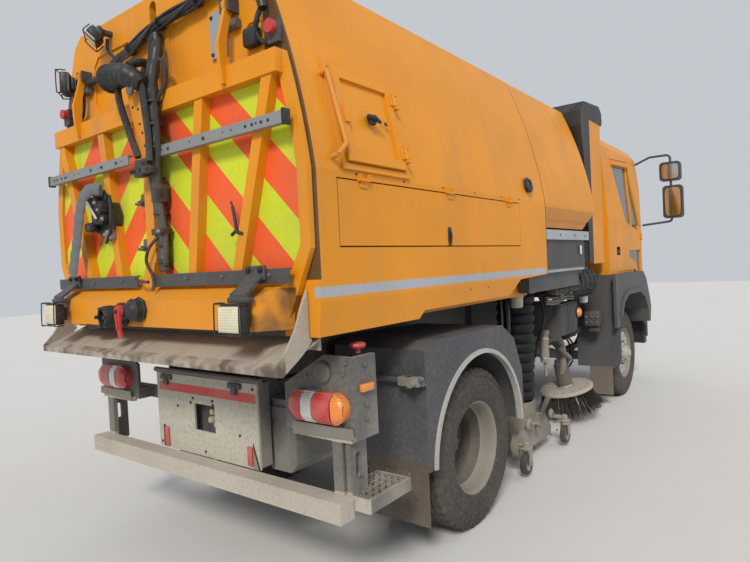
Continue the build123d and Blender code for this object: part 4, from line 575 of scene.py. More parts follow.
def cable_bundle():
    data = bpy.data.curves.new("header_cable", "CURVE")
    data.dimensions = "3D"
    spline = data.splines.new("NURBS")
    spline.points.add(len(CABLE_ROUTE) - 1)
    for target, (y, z) in zip(spline.points, CABLE_ROUTE):
        target.co = (*at(CABLE_X, y, z), 1)
    spline.order_u = 3
    spline.use_endpoint_u = True
    data.resolution_u = 8
    data.bevel_resolution = 4
    data.use_fill_caps = True
    data.materials.append(MATERIALS["cable"])
    sleeve = link("header_cable", data)
    points = [v.co.copy() for v in final_mesh(sleeve).vertices]
    data.bevel_depth = CABLE_R
    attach(sleeve, "hopper")
    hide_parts("cable_bundle")
    p = Piece("header_cable_strands", "cable black")
    for k in range(3):
        path = []
        for i, point in enumerate(points):
            ease = sin(pi * i / (len(points) - 1)) ** 0.4
            turn = 0.16 * i + 2.1 * k
            path.append(point + Vector((0.012 * sin(turn) - 0.008, 0, 0.031 * cos(turn))) * ease)
        p.tube(path, 0.009 - 0.001 * k)
    p.use("black")
    for k in range(6, len(points) - 4, 13):
        p.band(points[k], points[k + 1] - points[k - 1], 0.026, 0.036, 0.006, 14)
        p.box(points[k] + Vector((-0.036, -0.008, -0.008)), points[k] + Vector((-0.026, 0.008, 0.012)),
              0.002)
    p.done("hopper", "cable_sleeve")


# Tail door dressing: it stands for the tail door's fittings, and all of it but the loom rides on the tail
# door
def tail_lever():
    """The lever between its black straps, under the rubber boot."""
    p = Piece("tail_lever", "paint black dark_bolt bolt")
    x = -1.585
    p.plate(x + 0.012, [(0.055, 2.715), (-0.125, 2.68), (-0.145, 2.33), (-0.045, 2.33)], 0.01)
    p.use("dark_bolt").bolts(0.006, x + 0.013, (0.005, 2.62), (-0.045, 2.6), (-0.055, 2.52), (-0.075, 2.47),
                             (-0.09, 2.4))
    p.use("black")
    p.pipe([(x - 0.012, 0.105, 2.765), (x - 0.012, 0.09, 2.66), (x - 0.006, 0.02, 2.48), (x, -0.04, 2.345)],
           0.019)
    p.pipe([(x - 0.012, -0.13, 2.72), (x - 0.01, -0.148, 2.58), (x, -0.152, 2.44), (x, -0.148, 2.31)], 0.021)
    boot = p.smooth([(-1.605, 0.15, 2.8), (-1.61, 0.06, 2.795), (-1.61, -0.02, 2.775), (-1.6, -0.09, 2.735),
                     (-1.59, -0.14, 2.7)], 6)
    last = len(boot) - 1
    p.tube(boot, [0.066 - 0.028 * (i / last) ** 1.6 + 0.004 * sin(i * 1.9) for i in range(last + 1)], 20)
    p.lathe([(0.01, -0.012), (0.05, -0.012), (0.074, 0.0), (0.078, 0.012), (0.074, 0.022), (0.05, 0.03),
             (0.01, 0.03)], (-1.605, 0.148, 2.8), (0, 1, 0.05), 28)
    # The arm back to the header, and the loom's clamp
    p.tube([(-1.6, -0.02, 2.83), (-1.54, -0.02, 2.86), (-1.49, -0.01, 2.875)], 0.022, 12)
    p.use("bolt").pin((-1.615, -0.06, 2.69), BACK, 0.03, 0.012, 20)
    p.use("black")
    for y0, y1, z0, z1 in ((-0.02, -0.13, 2.285, 2.33), (-0.005, -0.085, 2.24, 2.3),
                           (-0.06, -0.16, 2.25, 2.29)):
        p.box((-1.6, y1, z0), (-1.545, y0, z1), 0.008)
    p.use("dark_bolt").bolts(0.011, -1.6, (0.0, 2.27), (-0.11, 2.305), (-0.14, 2.27))
    p.done("tail_door", "machinery", "tail_door_fittings")


def loom():
    """The thick cable loom down the right of the post, with its clips and a thin cable at the foot."""
    p = Piece("tail_loom", "cable black band dark_bolt")
    route = p.smooth([(-1.475, -0.1, 3.00), (-1.5, -0.13, 2.9), (-1.545, -0.15, 2.74), (-1.55, -0.16, 2.6),
                      (-1.545, -0.15, 2.42), (-1.53, -0.115, 2.27), (-1.505, -0.092, 2.12),
                      (-1.5, -0.096, 1.95), (-1.5, -0.092, 1.8), (-1.497, -0.092, 1.735)], 9)
    p.tube(route, [0.03 + 0.0035 * sin(i * 0.9) + 0.002 * sin(i * 2.3) for i in range(len(route))], 14)
    second = [q + Vector((-0.012, -0.03 - 0.01 * sin(i * 0.21), 0)) for i, q in enumerate(route)]
    third = [q + Vector((-0.018, 0.026 + 0.006 * sin(i * 0.3), 0)) for i, q in enumerate(route)]
    p.tube(second[4:-6], 0.015)
    p.tube(third[2:-22], 0.012)
    p.pipe([(-1.52, -0.15, 2.86), (-1.53, -0.24, 2.8), (-1.53, -0.235, 2.7), (-1.55, -0.18, 2.62)], 0.011)
    p.pipe([(-1.535, -0.1, 1.92), (-1.55, -0.03, 1.86), (-1.55, 0.0, 1.79), (-1.545, -0.04, 1.72),
            (-1.56, -0.075, 1.675), (-1.57, -0.08, 1.64)], 0.0085)
    p.pipe([(-1.565, 0.09, 1.7), (-1.575, 0.03, 1.685), (-1.575, -0.05, 1.68)], 0.0085)
    p.use("black")
    p.box((-1.535, -0.145, 2.1), (-1.475, -0.05, 2.2), 0.012)
    p.box((-1.54, -0.15, 1.93), (-1.475, -0.045, 1.965), 0.006)
    p.lathe([(0.01, 0), (0.026, 0), (0.03, 0.02), (0.026, 0.045), (0.01, 0.045)], (-1.53, -0.12, 2.13),
            (-0.5, -0.3, 1), 16)
    for z in (2.62, 2.5, 2.38, 2.24, 2.05, 1.88, 1.79):
        p.band(min(route, key=lambda q: abs(q.z - z)), UP, 0.036, 0.043, 0.005, 16)
    p.use("band").box((-1.545, -0.155, 1.94), (-1.538, -0.1, 1.958), 0.002)
    p.use("dark_bolt").bolts(0.007, -1.545, (-0.15, 1.94), (-0.15, 1.955))
    made = p.done(None, "cable_sleeve", "tail_door_fittings")
    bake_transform(made)


def hose_frame():
    """The black frame on the left that carries the flat hose."""
    p = Piece("hose_frame", "black band dark_bolt rim")
    p.plate(-1.52, [(0.6, 2.215), (0.49, 2.245), (0.4, 2.19), (0.355, 2.08), (0.37, 1.98), (0.42, 1.93),
                    (0.52, 1.97), (0.61, 2.01), (0.63, 2.1)], 0.05)
    p.box((-1.56, 0.5, 2.14), (-1.5, 0.6, 2.2), 0.012)
    p.box((-1.565, 0.42, 2.03), (-1.5, 0.55, 2.09), 0.016)
    p.box((-1.575, 0.53, 1.995), (-1.5, 0.62, 2.05), 0.014)
    p.lathe([(0.006, 0), (0.045, 0), (0.052, 0.02), (0.045, 0.05), (0.02, 0.06), (0.006, 0.06)],
            (-1.51, 0.47, 2.12), (-1, 0, 0.1), 24)
    p.pipe([(-1.55, 0.345, 2.19), (-1.555, 0.335, 2.09), (-1.55, 0.36, 1.98), (-1.545, 0.42, 1.92)], 0.009)
    p.use("rim").box((-1.55, 0.36, 1.935), (-1.5, 0.43, 1.995), 0.01)
    p.use("band").pipe([(-1.575, 0.56, 2.17), (-1.58, 0.51, 2.12), (-1.575, 0.46, 2.06)], 0.01)
    p.bolts(0.01, -1.565, (0.455, 2.115), (0.49, 2.16), (0.41, 2.06), (0.39, 1.965), (0.56, 2.02))
    p.use("dark_bolt")
    for y, z in ((0.52, 2.06), (0.44, 2.19), (0.385, 2.13)):
        p.pin((-1.5225, y, z), BACK, 0.014, 0.004, 12, 0.002)
    p.done("tail_door", "machinery", "tail_door_fittings")


def flat_hose():
    """The grey lay-flat hose that hangs over its frame."""
    p = Piece("flat_hose", "sleeve")
    line = p.smooth([(-1.55, 0.44, 2.232), (-1.57, 0.52, 2.238), (-1.58, 0.6, 2.2), (-1.583, 0.655, 2.1),
                     (-1.582, 0.7, 1.97), (-1.582, 0.745, 1.86), (-1.582, 0.79, 1.745)])
    points, sides = [], 16
    for k, place in enumerate(line):
        t = k / (len(line) - 1)
        ahead = heading(line, k)
        across = ahead.cross(Vector((1, 0, 0))).normalized()
        out = across.cross(ahead).normalized()
        wide = 0.032 + 0.018 * min(1, t * 2.2) + 0.002 * sin(k * 0.8)
        thick = 0.016 - 0.006 * t + 0.0025 * sin(k * 1.3)
        for i in range(sides):
            angle = 2 * pi * i / sides
            fold = 0.006 * sin(angle * 2 + 1.5) * t
            points.append(place + across * cos(angle) * wide + out * (sin(angle) * thick + fold))
    p.skin(points, sides)
    made = p.done("tail_door", "hose_rubber", "tail_door_fittings")


def work_lamp(p, centre, facing, wide, high, deep):
    """A lamp body with a ribbed cream lens and a wire guard, in a piece with black and cream_lens."""
    facing = Vector(facing).normalized()
    across = Vector(UP).cross(facing).normalized()
    up = facing.cross(across)
    turn = Matrix((across, up, facing)).transposed().to_4x4()

    def local(a, b, c):
        return centre + across * a + up * b + facing * c

    def block(low, high_corner, bevel):
        size = Vector([(b - a) / 2 for a, b in zip(low, high_corner)])
        middle = local(*[(b + a) / 2 for a, b in zip(low, high_corner)])
        p.box(middle - size, middle + size, bevel, turn)

    w, h = wide / 2, high / 2
    p.use("black")
    block((-w, -h, 0), (w, h, deep), 0.014)
    block((-w * 0.6, -h * 0.6, -0.03), (w * 0.6, h * 0.6, 0.004), 0.008)
    p.use("cream_lens")
    block((-w + 0.008, -h + 0.008, deep - 0.004), (w - 0.008, h - 0.008, deep + 0.004), 0.003)
    ribs = 9
    for k in range(ribs):
        a = (-w + 0.018) + (wide - 0.036) * k / (ribs - 1)
        block((a - 0.0055, -h + 0.014, deep + 0.001), (a + 0.0055, h - 0.014, deep + 0.0065), 0.0025)
    p.use("black")
    left, right, wire = -w - 0.005, w + 0.005, 0.0036
    for a in (left, right):
        p.pipe([local(a, b, c) for b, c in ((-h - 0.004, 0.012), (-h - 0.005, deep + 0.006),
                                            (-h + 0.01, deep + 0.014), (h - 0.01, deep + 0.014),
                                            (h + 0.005, deep + 0.006), (h + 0.004, 0.012))], wire, 6, 4)
    for b in (-h - 0.003, h + 0.003):
        p.tube([local(left, b, deep + 0.008), local(right, b, deep + 0.008)], wire, 6)


def rear_lamps():
    for y, name in ((0.845, "left"), (-0.87, "right")):
        p = Piece("work_lamp_" + name, "black cream_lens housing dark_bolt")
        work_lamp(p, at(-1.648, y, 1.505), (-1, 0, 0.03), 0.158, 0.13, 0.055)
        # Folded bracket over the beam
        p.use("housing").slab([(x, y - 0.052, z) for x, z in (
            (-1.652, 1.575), (-1.652, 1.615), (-1.612, 1.64), (-1.545, 1.695), (-1.545, 1.683),
            (-1.606, 1.628),
            (-1.64, 1.604), (-1.64, 1.575))], (0, 0.104, 0))
        p.box((-1.664, y - 0.058, 1.575), (-1.605, y + 0.058, 1.6), 0.005)
        p.box((-1.548, y - 0.065, 1.668), (-1.53, y + 0.065, 1.735), 0.004)
        p.use("dark_bolt").bolts(0.012, -1.549, (y - 0.04, 1.715), (y + 0.04, 1.715))
        p.done("tail_door", "machinery", "tail_door_fittings")


def drain_valve():
    """Spigot, red lever and cap under the post."""
    p = Piece("drain_valve", "black red dark_bolt cable")
    x = -1.6
    p.lathe([(0.01, 0), (0.066, 0), (0.07, 0.014), (0.06, 0.02), (0.058, 0.045), (0.064, 0.052),
             (0.05, 0.062), (0.01, 0.062)], (x, 0.0, 1.535), (-1, 0, 0.02), 8)
    p.lathe([(0.01, 0.05), (0.042, 0.05), (0.046, 0.062), (0.03, 0.075), (0.01, 0.075)], (x, 0.0, 1.535),
            (-1, 0, 0.02), 24)
    p.tube([(x - 0.03, 0.02, 1.53), (x - 0.035, 0.09, 1.522), (x - 0.035, 0.15, 1.515)], [0.034, 0.04, 0.04],
           16)
    p.lathe([(0.01, 0), (0.068, 0), (0.068, 0.018), (0.056, 0.022), (0.056, 0.045), (0.01, 0.045)],
            (x - 0.002, 0.175, 1.505), BACK, 24)
    mouth, lean = (x - 0.01, 0.175, 1.505), (-1, 0.12, -0.03)
    p.ring([(0.04, 0.0), (0.056, 0.0), (0.056, 0.05), (0.06, 0.055), (0.06, 0.095), (0.054, 0.112),
            (0.04, 0.112)], mouth, lean, 28)
    p.lathe([(0.005, 0.03), (0.041, 0.03), (0.041, 0.05), (0.005, 0.05)], mouth, lean, 20)
    p.use("cable")
    for ray in circle(4, 0.045, 0, Vector(OUT)):
        p.lathe([(0.005, 0.1), (0.01, 0.1), (0.01, 0.125), (0.005, 0.125)], at(*mouth) + ray, lean, 8)
    p.use("red")
    p.lathe([(0.004, 0), (0.03, 0), (0.034, 0.01), (0.03, 0.03), (0.004, 0.034)], (x - 0.06, 0.085, 1.53),
            (-1, 0, 0.1), 16)
    p.plate(x - 0.092, [(0.105, 1.545), (0.06, 1.545), (0.055, 1.5), (0.062, 1.44), (0.048, 1.395),
                        (0.075, 1.39), (0.092, 1.44), (0.11, 1.5)], 0.014)
    p.plate(x - 0.098, [(0.088, 1.54), (0.076, 1.54), (0.074, 1.43), (0.084, 1.43)], 0.01)
    p.use("dark_bolt").bolts(0.01, x - 0.094, (0.083, 1.53))
    p.use("black").pipe([(-1.59, 0.6, 1.44), (-1.6, 0.55, 1.425), (-1.6, 0.47, 1.43), (-1.59, 0.42, 1.44)],
                        0.012)
    p.done("tail_door", "machinery", "tail_door_fittings")


def rail_fittings():
    """End caps, bolts on the rails, the T-handle and the two latches by the post."""
    p = Piece("tail_rail_fittings", "black dark_bolt bolt machinery")
    for sign in (1, -1):
        p.box((-1.551, sign * 1.094, 2.328), (-1.508, sign * 1.112, 2.398), 0.005)
    p.use("dark_bolt")
    for y in (-0.255, -0.55, -0.86, -0.905, -0.965, -1.01, 0.26, 0.42, 0.55, 0.88, 0.93, 0.99, 1.03):
        p.pin((-1.5462, y, 2.362), BACK, 0.009 if abs(y) < 0.8 else 0.007, 0.003, 12, 0.001)
    p.use("bolt").bolts(0.009, -1.532, *[(y, 1.69) for y in (-0.33, -0.62, 0.3, 0.62, -0.95, 0.95)])
    # T-handle
    p.use("black").pin((-1.462, -0.72, 1.905), BACK, 0.022, 0.008, 16, 0.002)
    p.tube([(-1.462, -0.72, 1.905), (-1.512, -0.72, 1.905)], 0.008)
    p.tube([(-1.505, -0.675, 1.888), (-1.512, -0.72, 1.908), (-1.51, -0.715, 1.93), (-1.512, -0.7, 2.02)],
           0.0085)
    p.tube([(-1.508, -0.765, 1.886), (-1.512, -0.715, 1.902)], 0.01)
    p.tube([(-1.512, -0.7, 2.02), (-1.512, -0.69, 2.045)], 0.005)
    p.use("machinery")
    for z in (2.13, 1.88):
        p.box((-1.5, 0.055, z - 0.03), (-1.462, 0.105, z + 0.04), 0.006)
        p.tube([(-1.5, 0.08, z - 0.005), (-1.525, 0.085, z - 0.01)], 0.012, 10)
        p.tube([(-1.522, 0.06, z - 0.02), (-1.525, 0.11, z - 0.015)], 0.009)
    p.use("dark_bolt").pin((-1.5535, -0.005, 1.8), BACK, 0.012, 0.003, 12, 0.001)
    p.done("tail_door", "machinery", "tail_door_fittings")


def header_details():
    """Lamp lenses with guards, hinge pins, blank plate bolts and the wires on the header."""
    p = Piece("header_lamps", "black cream_lens dark_bolt machinery")
    for place, facing, wide, high in (((-1.504, 0.815, 2.942), (-0.8, 0.6, 0), 0.126, 0.13),
                                      ((-1.512, 0.43, 3.15), (-0.6, 0.35, -0.7), 0.154, 0.076)):
        facing = Vector(facing).normalized()
        work_lamp(p, at(*place) + facing * 0.002, facing, wide, high, 0.054)
    p.use("dark_bolt").bolts(0.008, -1.454, *[(y, z) for y in (-0.635, -0.545) for z in (2.785, 2.965)])
    p.use("machinery")
    for y in (0.705, -0.705):
        p.lathe([(0.004, -0.046), (0.022, -0.046), (0.024, -0.036), (0.024, 0.036), (0.022, 0.046),
                 (0.004, 0.046)], (-1.46, y, 2.884), OUT, 16)
    p.use("black")
    p.pipe([(-1.46, 0.6, 2.93), (-1.475, 0.7, 2.96), (-1.48, 0.76, 2.95)], 0.01)
    p.pipe([(-1.47, 0.62, 2.94), (-1.48, 0.7, 2.88), (-1.475, 0.72, 2.8), (-1.46, 0.78, 2.74),
            (-1.455, 0.86, 2.75), (-1.455, 0.95, 2.78)], 0.009)
    p.pipe([(-1.46, -0.93, 2.93), (-1.475, -0.9, 2.86), (-1.47, -0.88, 2.79), (-1.455, -0.93, 2.74),
            (-1.45, -0.98, 2.75)], 0.012)
    p.box((-1.49, -0.89, 2.74), (-1.44, -0.8, 2.83), 0.016)
    p.pipe([(-1.46, 0.43, 3.13), (-1.475, 0.4, 3.05), (-1.475, 0.33, 2.99)], 0.009)
    p.done("hopper", "machinery")


# The hopper side's half width at the two heights that its details need
HATCH_SIDE_Y = 1.135 - 0.08 * (2.43 - 2.42) / (2.69 - 2.42)
BOSS_SIDE_Y = 1.168 - 0.033 * (2.265 - 2.15) / (2.42 - 2.15)


def hopper_details():
    """Hatch catches, fill bosses, flap handles and screws on both sides."""
    for side, name in SIDES:
        p = Piece("hatch_catch_" + name, "black", side)
        tilt = Vector((0, side * 0.93, 0.36)).normalized()
        base = p.spot((-0.985, HATCH_SIDE_Y + 0.012, 2.43))
        p.lathe([(0.004, 0), (0.03, 0), (0.032, 0.01), (0.022, 0.018), (0.004, 0.018)], base, tilt, 20)
        p.tube([base + tilt * 0.018 + Vector((-0.045, 0, 0.004)), base + tilt * 0.026,
                base + tilt * 0.022 + Vector((0.055, 0, -0.012))], [0.009, 0.015, 0.008], 10)
        p.pin(base + Vector((0.125, 0, 0)), tilt, 0.012, 0.004)
        p.done("hatch_" + name, "black_trim")

        p = Piece("fill_boss_" + name, "black band", side)
        place = p.spot((0.94, BOSS_SIDE_Y + 0.01, 2.265))
        out = Vector((0, side * 0.95, 0.2)).normalized()
        p.ring([(0.034, 0), (0.058, 0), (0.06, 0.012), (0.05, 0.02), (0.038, 0.016)], place, out, 28)
        p.lathe([(0.004, 0.004), (0.034, 0.004), (0.034, 0.01), (0.004, 0.014)], place, out, 20)
        p.use("band")
        for ray in circle(6, 0.046):
            p.bolt(place + ray + out * 0.017, out, 0.004)
        p.done("hopper", "black_trim")

        p = Piece("flap_handle_" + name, "black", side)
        p.box((-0.309, 1.16, 1.806), (-0.281, 1.176, 1.918), 0.007)
        p.tube([(-0.295, 1.177, 1.822), (-0.295, 1.183, 1.862), (-0.295, 1.177, 1.902)], 0.006)
        p.done("locker_" + name, "black_trim")

        p = Piece("side_fasteners_" + name, "dark_bolt", side)
        for x in (-1.15, -0.75, -0.35, 0.05, 0.45, 0.75):
            p.rivet((x, 1.168, 2.145), OUT, 0.006)
        for x in (-0.05, 0.2, 0.72):
            p.rivet((x, 1.163, 1.53), OUT, 0.007)
        p.done("hopper", "black_trim")


def rear_board():
    """What sits on the rear board: reflectors, straps, screws and the couplings in its hole."""
    p = Piece("rear_board_fittings", "reflector rim black dark_bolt straw machinery housing")
    x = -1.24
    p.box((x - 0.012, -0.425, 0.648), (x, -0.385, 0.752), 0.003)
    p.box((x - 0.012, 0.362, 0.642), (x, 0.402, 0.76), 0.003)
    p.use("black").box((x - 0.008, 0.404, 0.636), (x, 0.42, 0.77), 0.002)
    p.plate(x - 0.004, [(-0.43, 0.775), (-0.476, 0.64), (-0.476, 0.63), (-0.428, 0.63)], 0.003)
    p.use("rim").plate(x - 0.006, [(-0.432, 0.745), (-0.47, 0.632), (-0.428, 0.632)], 0.004)
    p.use("dark_bolt")
    for y, z in ((-0.085, 0.968), (0.1, 0.968), (0.125, 0.94), (-0.09, 0.945), (0.26, 0.905), (-0.32, 0.8),
                 (0.445, 0.66), (-0.445, 1.07), (0.43, 1.07), (0.0, 0.66)):
        p.lathe([(0.001, 0), (0.009, 0), (0.007, 0.005), (0.001, 0.006)], (x, y, z), BACK, 10)
    p.use("black").pipe([(x + 0.03, 0.09, 0.93), (x + 0.015, 0.02, 0.945), (x + 0.03, -0.08, 0.935)], 0.009)
    p.use("straw")
    for y, z, r in ((0.005, 0.875, 0.024), (-0.045, 0.85, 0.026), (0.02, 0.825, 0.026), (-0.03, 0.8, 0.022),
                    (-0.06, 0.89, 0.018)):
        p.lathe([(0.003, 0), (r, 0), (r * 1.05, 0.02), (r * 0.7, 0.045), (0.003, 0.05)], (x + 0.1, y, z),
                (-1, 0.1, 0.2), 14)
    p.use("housing")
    for y in (0.36, -0.3):
        p.box((x - 0.016, y - 0.055, 1.062), (x + 0.02, y + 0.055, 1.094), 0.006)
        p.box((x - 0.022, y - 0.022, 1.03), (x - 0.004, y + 0.022, 1.085), 0.005)
    p.use("machinery").tube([(x + 0.01, 0.5, 1.115), (x + 0.01, -0.5, 1.115)], 0.016, 10)
    p.done("chassis", "machinery")


def lens_dome(p, finish, y0, y1, deep):
    """One bulging field of a tail lamp, from y0 to y1, with the lamp's rounded ends."""
    steps, rows = 10, 8
    points, loops = [], []
    for i in range(steps + 1):
        y = y0 + (y1 - y0) * i / steps
        from_middle = abs(y - 0.95)
        shoulder = sqrt(max(0.0, 1 - max(0.0, (from_middle - 0.11) / 0.075) ** 2))
        high = 0.07 * max(0.05, shoulder)
        for j in range(rows + 1):
            t = -1 + 2 * j / rows
            lift = deep * (1 - t ** 4) * max(0.15, shoulder) * (1 - 0.15 * min(1.0, from_middle / 0.185))
            points.append(p.spot((-1.281 - lift, y, 1.04 + high * t)))
    for i in range(steps):
        for j in range(rows):
            a = i * (rows + 1) + j
            loops.append((a, a + 1, a + rows + 2, a + rows + 1))
    edge = [j for j in range(rows + 1)]
    edge += [i * (rows + 1) + rows for i in range(1, steps + 1)]
    edge += [steps * (rows + 1) + j for j in reversed(range(rows))]
    edge += [i * (rows + 1) for i in reversed(range(1, steps))]
    p.use(finish).faces(points, loops + [edge])


def tail_lamps():
    for side, name in SIDES:
        p = Piece("tail_lamp_" + name, "red_lens clear_lens amber_lens bolt red rim machinery", side)
        lens_dome(p, "red_lens", 0.775, 0.872, 0.03)
        lens_dome(p, "clear_lens", 0.875, 0.945, 0.032)
        lens_dome(p, "red_lens", 0.948, 1.063, 0.034)
        lens_dome(p, "amber_lens", 1.066, 1.128, 0.03)
        p.use("rim").plate(-1.262, [(0.77, 0.948), (1.155, 0.952), (1.165, 0.905), (0.765, 0.885)], 0.008)
        p.use("amber_lens").box((-1.205, 1.164, 1.116), (-1.115, 1.19, 1.155), 0.008)
        p.use("red").lathe([(0.004, 0), (0.012, 0), (0.012, 0.022), (0.036, 0.028), (0.04, 0.038),
                            (0.036, 0.048), (0.02, 0.054), (0.004, 0.054)], (-1.12, 1.1, 1.288), UP, 20,
                           shape=lambda i, k: 0.004 * (k % 4 == 0) if 3 <= i <= 5 else 0)
        p.use("bolt").bolts(0.009, -1.241, (0.8, 1.1), (0.86, 1.18), (1.1, 1.2), (1.12, 1.255),
                            (1.02, 0.925), (0.83, 0.91))
        for z in (1.24, 1.05, 0.7, 0.98):
            p.bolt((-1.16, 1.166 if z > 0.9 else 1.116, z), OUT, 0.01)
        p.use("machinery").lathe([(0.01, 0), (0.05, 0), (0.055, 0.008), (0.045, 0.016), (0.01, 0.016)],
                                 (-1.241, 0.97, 1.205), BACK, 22)
        p.done("chassis", "lamp_lens")


def step_teeth():
    p = Piece("step_teeth", "machinery")
    for i in range(6):
        for j in range(5):
            p.ring([(0.009, 0), (0.016, 0), (0.012, 0.016), (0.009, 0.016)],
                   (-1.2 + i * 0.052, -1.195 + j * 0.04, 0.612), UP, 8)
    p.done("chassis", "chassis_paint")


def guard_details():
    """The stay through the mudguard with its clamp, flap bolts and the marker on the front guard."""
    for side, name in SIDES:
        p = Piece("guard_fittings_" + name, "rim bolt amber_lens", side)
        p.box((-0.735, 1.05, 1.045), (-0.675, 1.185, 1.095), 0.006)
        p.tube([(-0.78, 1.16, 1.07), (-0.64, 1.16, 1.07)], 0.02, 14)
        p.use("bolt").bolt((-0.72, 1.186, 1.085), OUT)
        p.bolt((-0.69, 1.186, 1.055), OUT)
        for angle in (20, 55, 90, 125, 160):
            a = radians(angle)
            p.bolt((0.637 * cos(a), 1.181, 0.539 + 0.637 * sin(a)), OUT, 0.008)
        p.bolts(0.01, -0.657, *[(y, 0.53) for y in (0.6, 0.75, 0.9, 1.05)])
        p.use("amber_lens").box((3.352, 1.125, 1.005), (3.376, 1.178, 1.06), 0.008)
        p.done("chassis", "machinery")


TYRE_WIDE = 0.275
TYRE_HALF = [(0.288, 0.026), (0.3, 0.014), (0.318, 0.01), (0.322, 0.006), (0.328, 0.008), (0.35, 0.003),
             (0.378, 0.001), (0.4, 0.003), (0.404, 0.000), (0.409, 0.004), (0.44, 0.007), (0.455, 0.012),
             (0.459, 0.008), (0.48, 0.017), (0.497, 0.026), (0.5065, 0.036), (0.508, 0.068), (0.508, 0.084),
             (0.497, 0.087), (0.497, 0.094), (0.508, 0.097), (0.5085, 0.119), (0.498, 0.122), (0.498, 0.129),
             (0.509, 0.132)]


def tyre(p, inner):
    """A tyre from its inboard face outwards, with grooves and shoulder blocks."""
    profile = TYRE_HALF + [(r, TYRE_WIDE - h) for r, h in reversed(TYRE_HALF)]
    profile += [(0.284, TYRE_WIDE - 0.03), (0.284, 0.03)]
    last = 2 * len(TYRE_HALF) - 1
    depths = {12: 0.006, 13: 0.006, 14: 0.013, 15: 0.013, 16: 0.013}
    depths.update({last - i: depth for i, depth in depths.items()})
    p.ring(profile, inner, OUT, 132, lambda i, k: -depths.get(i, 0) if k % 3 == 0 else 0)


def wheel_disc(p, centre, radius, deep, holes_at, hole_r):
    """The wheel's disc with eight round hand holes, cut by a boolean on scratch objects."""
    disc = Piece("scratch_disc", "rim", p.side)
    disc.lathe([(0.02, -deep), (radius, -deep), (radius, 0), (radius * 0.86, 0.01), (radius * 0.62, 0.004),
                (radius * 0.56, 0.0), (0.02, 0.0)], centre, OUT, 96)
    cutter = Piece("scratch_holes", "rim", p.side)
    for ray in circle(8, holes_at, 0.5):
        cutter.lathe([(0.001, -0.06), (hole_r, -0.06), (hole_r, 0.06), (0.001, 0.06)], p.spot(centre) + ray,
                     OUT, 20)
    made, holes = disc.build(), cutter.build()
    cut = made.modifiers.new("holes", "BOOLEAN")
    cut.operation = "DIFFERENCE"
    cut.object = holes
    result = bmesh.new()
    result.from_mesh(final_mesh(made))
    p.take(result)
    bpy.data.objects.remove(made)
    bpy.data.objects.remove(holes)


def ring_of_bolts(p, centre, radius, count, size, start=0.0):
    for ray in circle(count, radius, start):
        p.bolt(p.spot(centre) + ray, OUT, size)


RIM_BARREL = [(0.3, 0.0), (0.303, 0.004), (0.3, 0.01), (0.29, 0.01), (0.284, 0.004), (0.276, -0.006),
              (0.273, -0.024), (0.268, -0.034), (0.266, -0.075), (0.257, -0.09), (0.25, -0.098),
              (0.247, -0.15), (0.238, -0.165)]
RIM_BACK = [(0.266, -0.18), (0.284, -0.09), (0.286, -0.03), (0.29, -0.006)]
# The front rim is shallow on its outer side
FRONT_RIM = [(0.3, 0.0), (0.303, 0.004), (0.3, 0.01), (0.29, 0.01), (0.282, 0.0), (0.27, -0.012),
             (0.262, -0.03), (0.25, -0.045), (0.25, -0.2), (0.27, -0.235), (0.29, -0.24), (0.29, -0.22),
             (0.272, -0.19), (0.268, -0.06), (0.284, -0.012)]


def wheels():
    for side, name in SIDES:
        p = Piece("rear_wheels_dressed_" + name, "tyre rim hub dark_bolt", side)
        tyre(p, (0, 0.875, AXLE_Z))
        tyre(p, (0, 0.555, AXLE_Z))
        p.use("rim")
        for y, deep in ((1.12, 0.25), (0.8, 0.235)):
            p.ring(RIM_BARREL + [(0.236, -deep), (0.262, -deep)] + RIM_BACK, (0, y, AXLE_Z), OUT, 72)
        wheel_disc(p, (0, 0.885, AXLE_Z), 0.245, 0.03, 0.205, 0.03)
        p.use("hub").lathe([(0.004, 0.078), (0.06, 0.078), (0.075, 0.072), (0.082, 0.055), (0.086, 0.02),
                            (0.105, 0.016), (0.11, 0.0), (0.19, 0.0), (0.19, -0.02), (0.004, -0.02)],
                           (0, 0.886, AXLE_Z), OUT, 40)
        ring_of_bolts(p, (0, 0.886, AXLE_Z), 0.145, 10, 0.016)
        p.use("dark_bolt")
        ring_of_bolts(p, (0, 0.963, AXLE_Z), 0.066, 8, 0.007, 0.5)
        p.done("rear_wheels_" + name, "tyre_rubber", "rear_wheels_" + name)

        p = Piece("front_wheel_dressed_" + name, "tyre rim pale_hub bolt", side)
        tyre(p, (FRONT_AXLE, 0.795, AXLE_Z))
        p.use("rim").ring(FRONT_RIM, (FRONT_AXLE, 1.042, AXLE_Z), OUT, 72)
        p.use("pale_hub")
        wheel_disc(p, (FRONT_AXLE, 1.026, AXLE_Z), 0.256, 0.022, 0.2, 0.028)
        p.lathe([(0.004, 0.094), (0.035, 0.094), (0.045, 0.088), (0.05, 0.07), (0.078, 0.066),
                 (0.084, 0.055),
                 (0.088, 0.025), (0.12, 0.02), (0.128, 0.0), (0.15, 0.0), (0.15, -0.02), (0.004, -0.02)],
                (FRONT_AXLE, 1.026, AXLE_Z), OUT, 40)
        ring_of_bolts(p, (FRONT_AXLE, 1.026, AXLE_Z), 0.1675, 10, 0.016)
        p.use("bolt")
        ring_of_bolts(p, (FRONT_AXLE, 1.046, AXLE_Z), 0.105, 10, 0.009, 0.5)
        p.done("front_wheel_" + name, "tyre_rubber", "front_wheel_" + name)


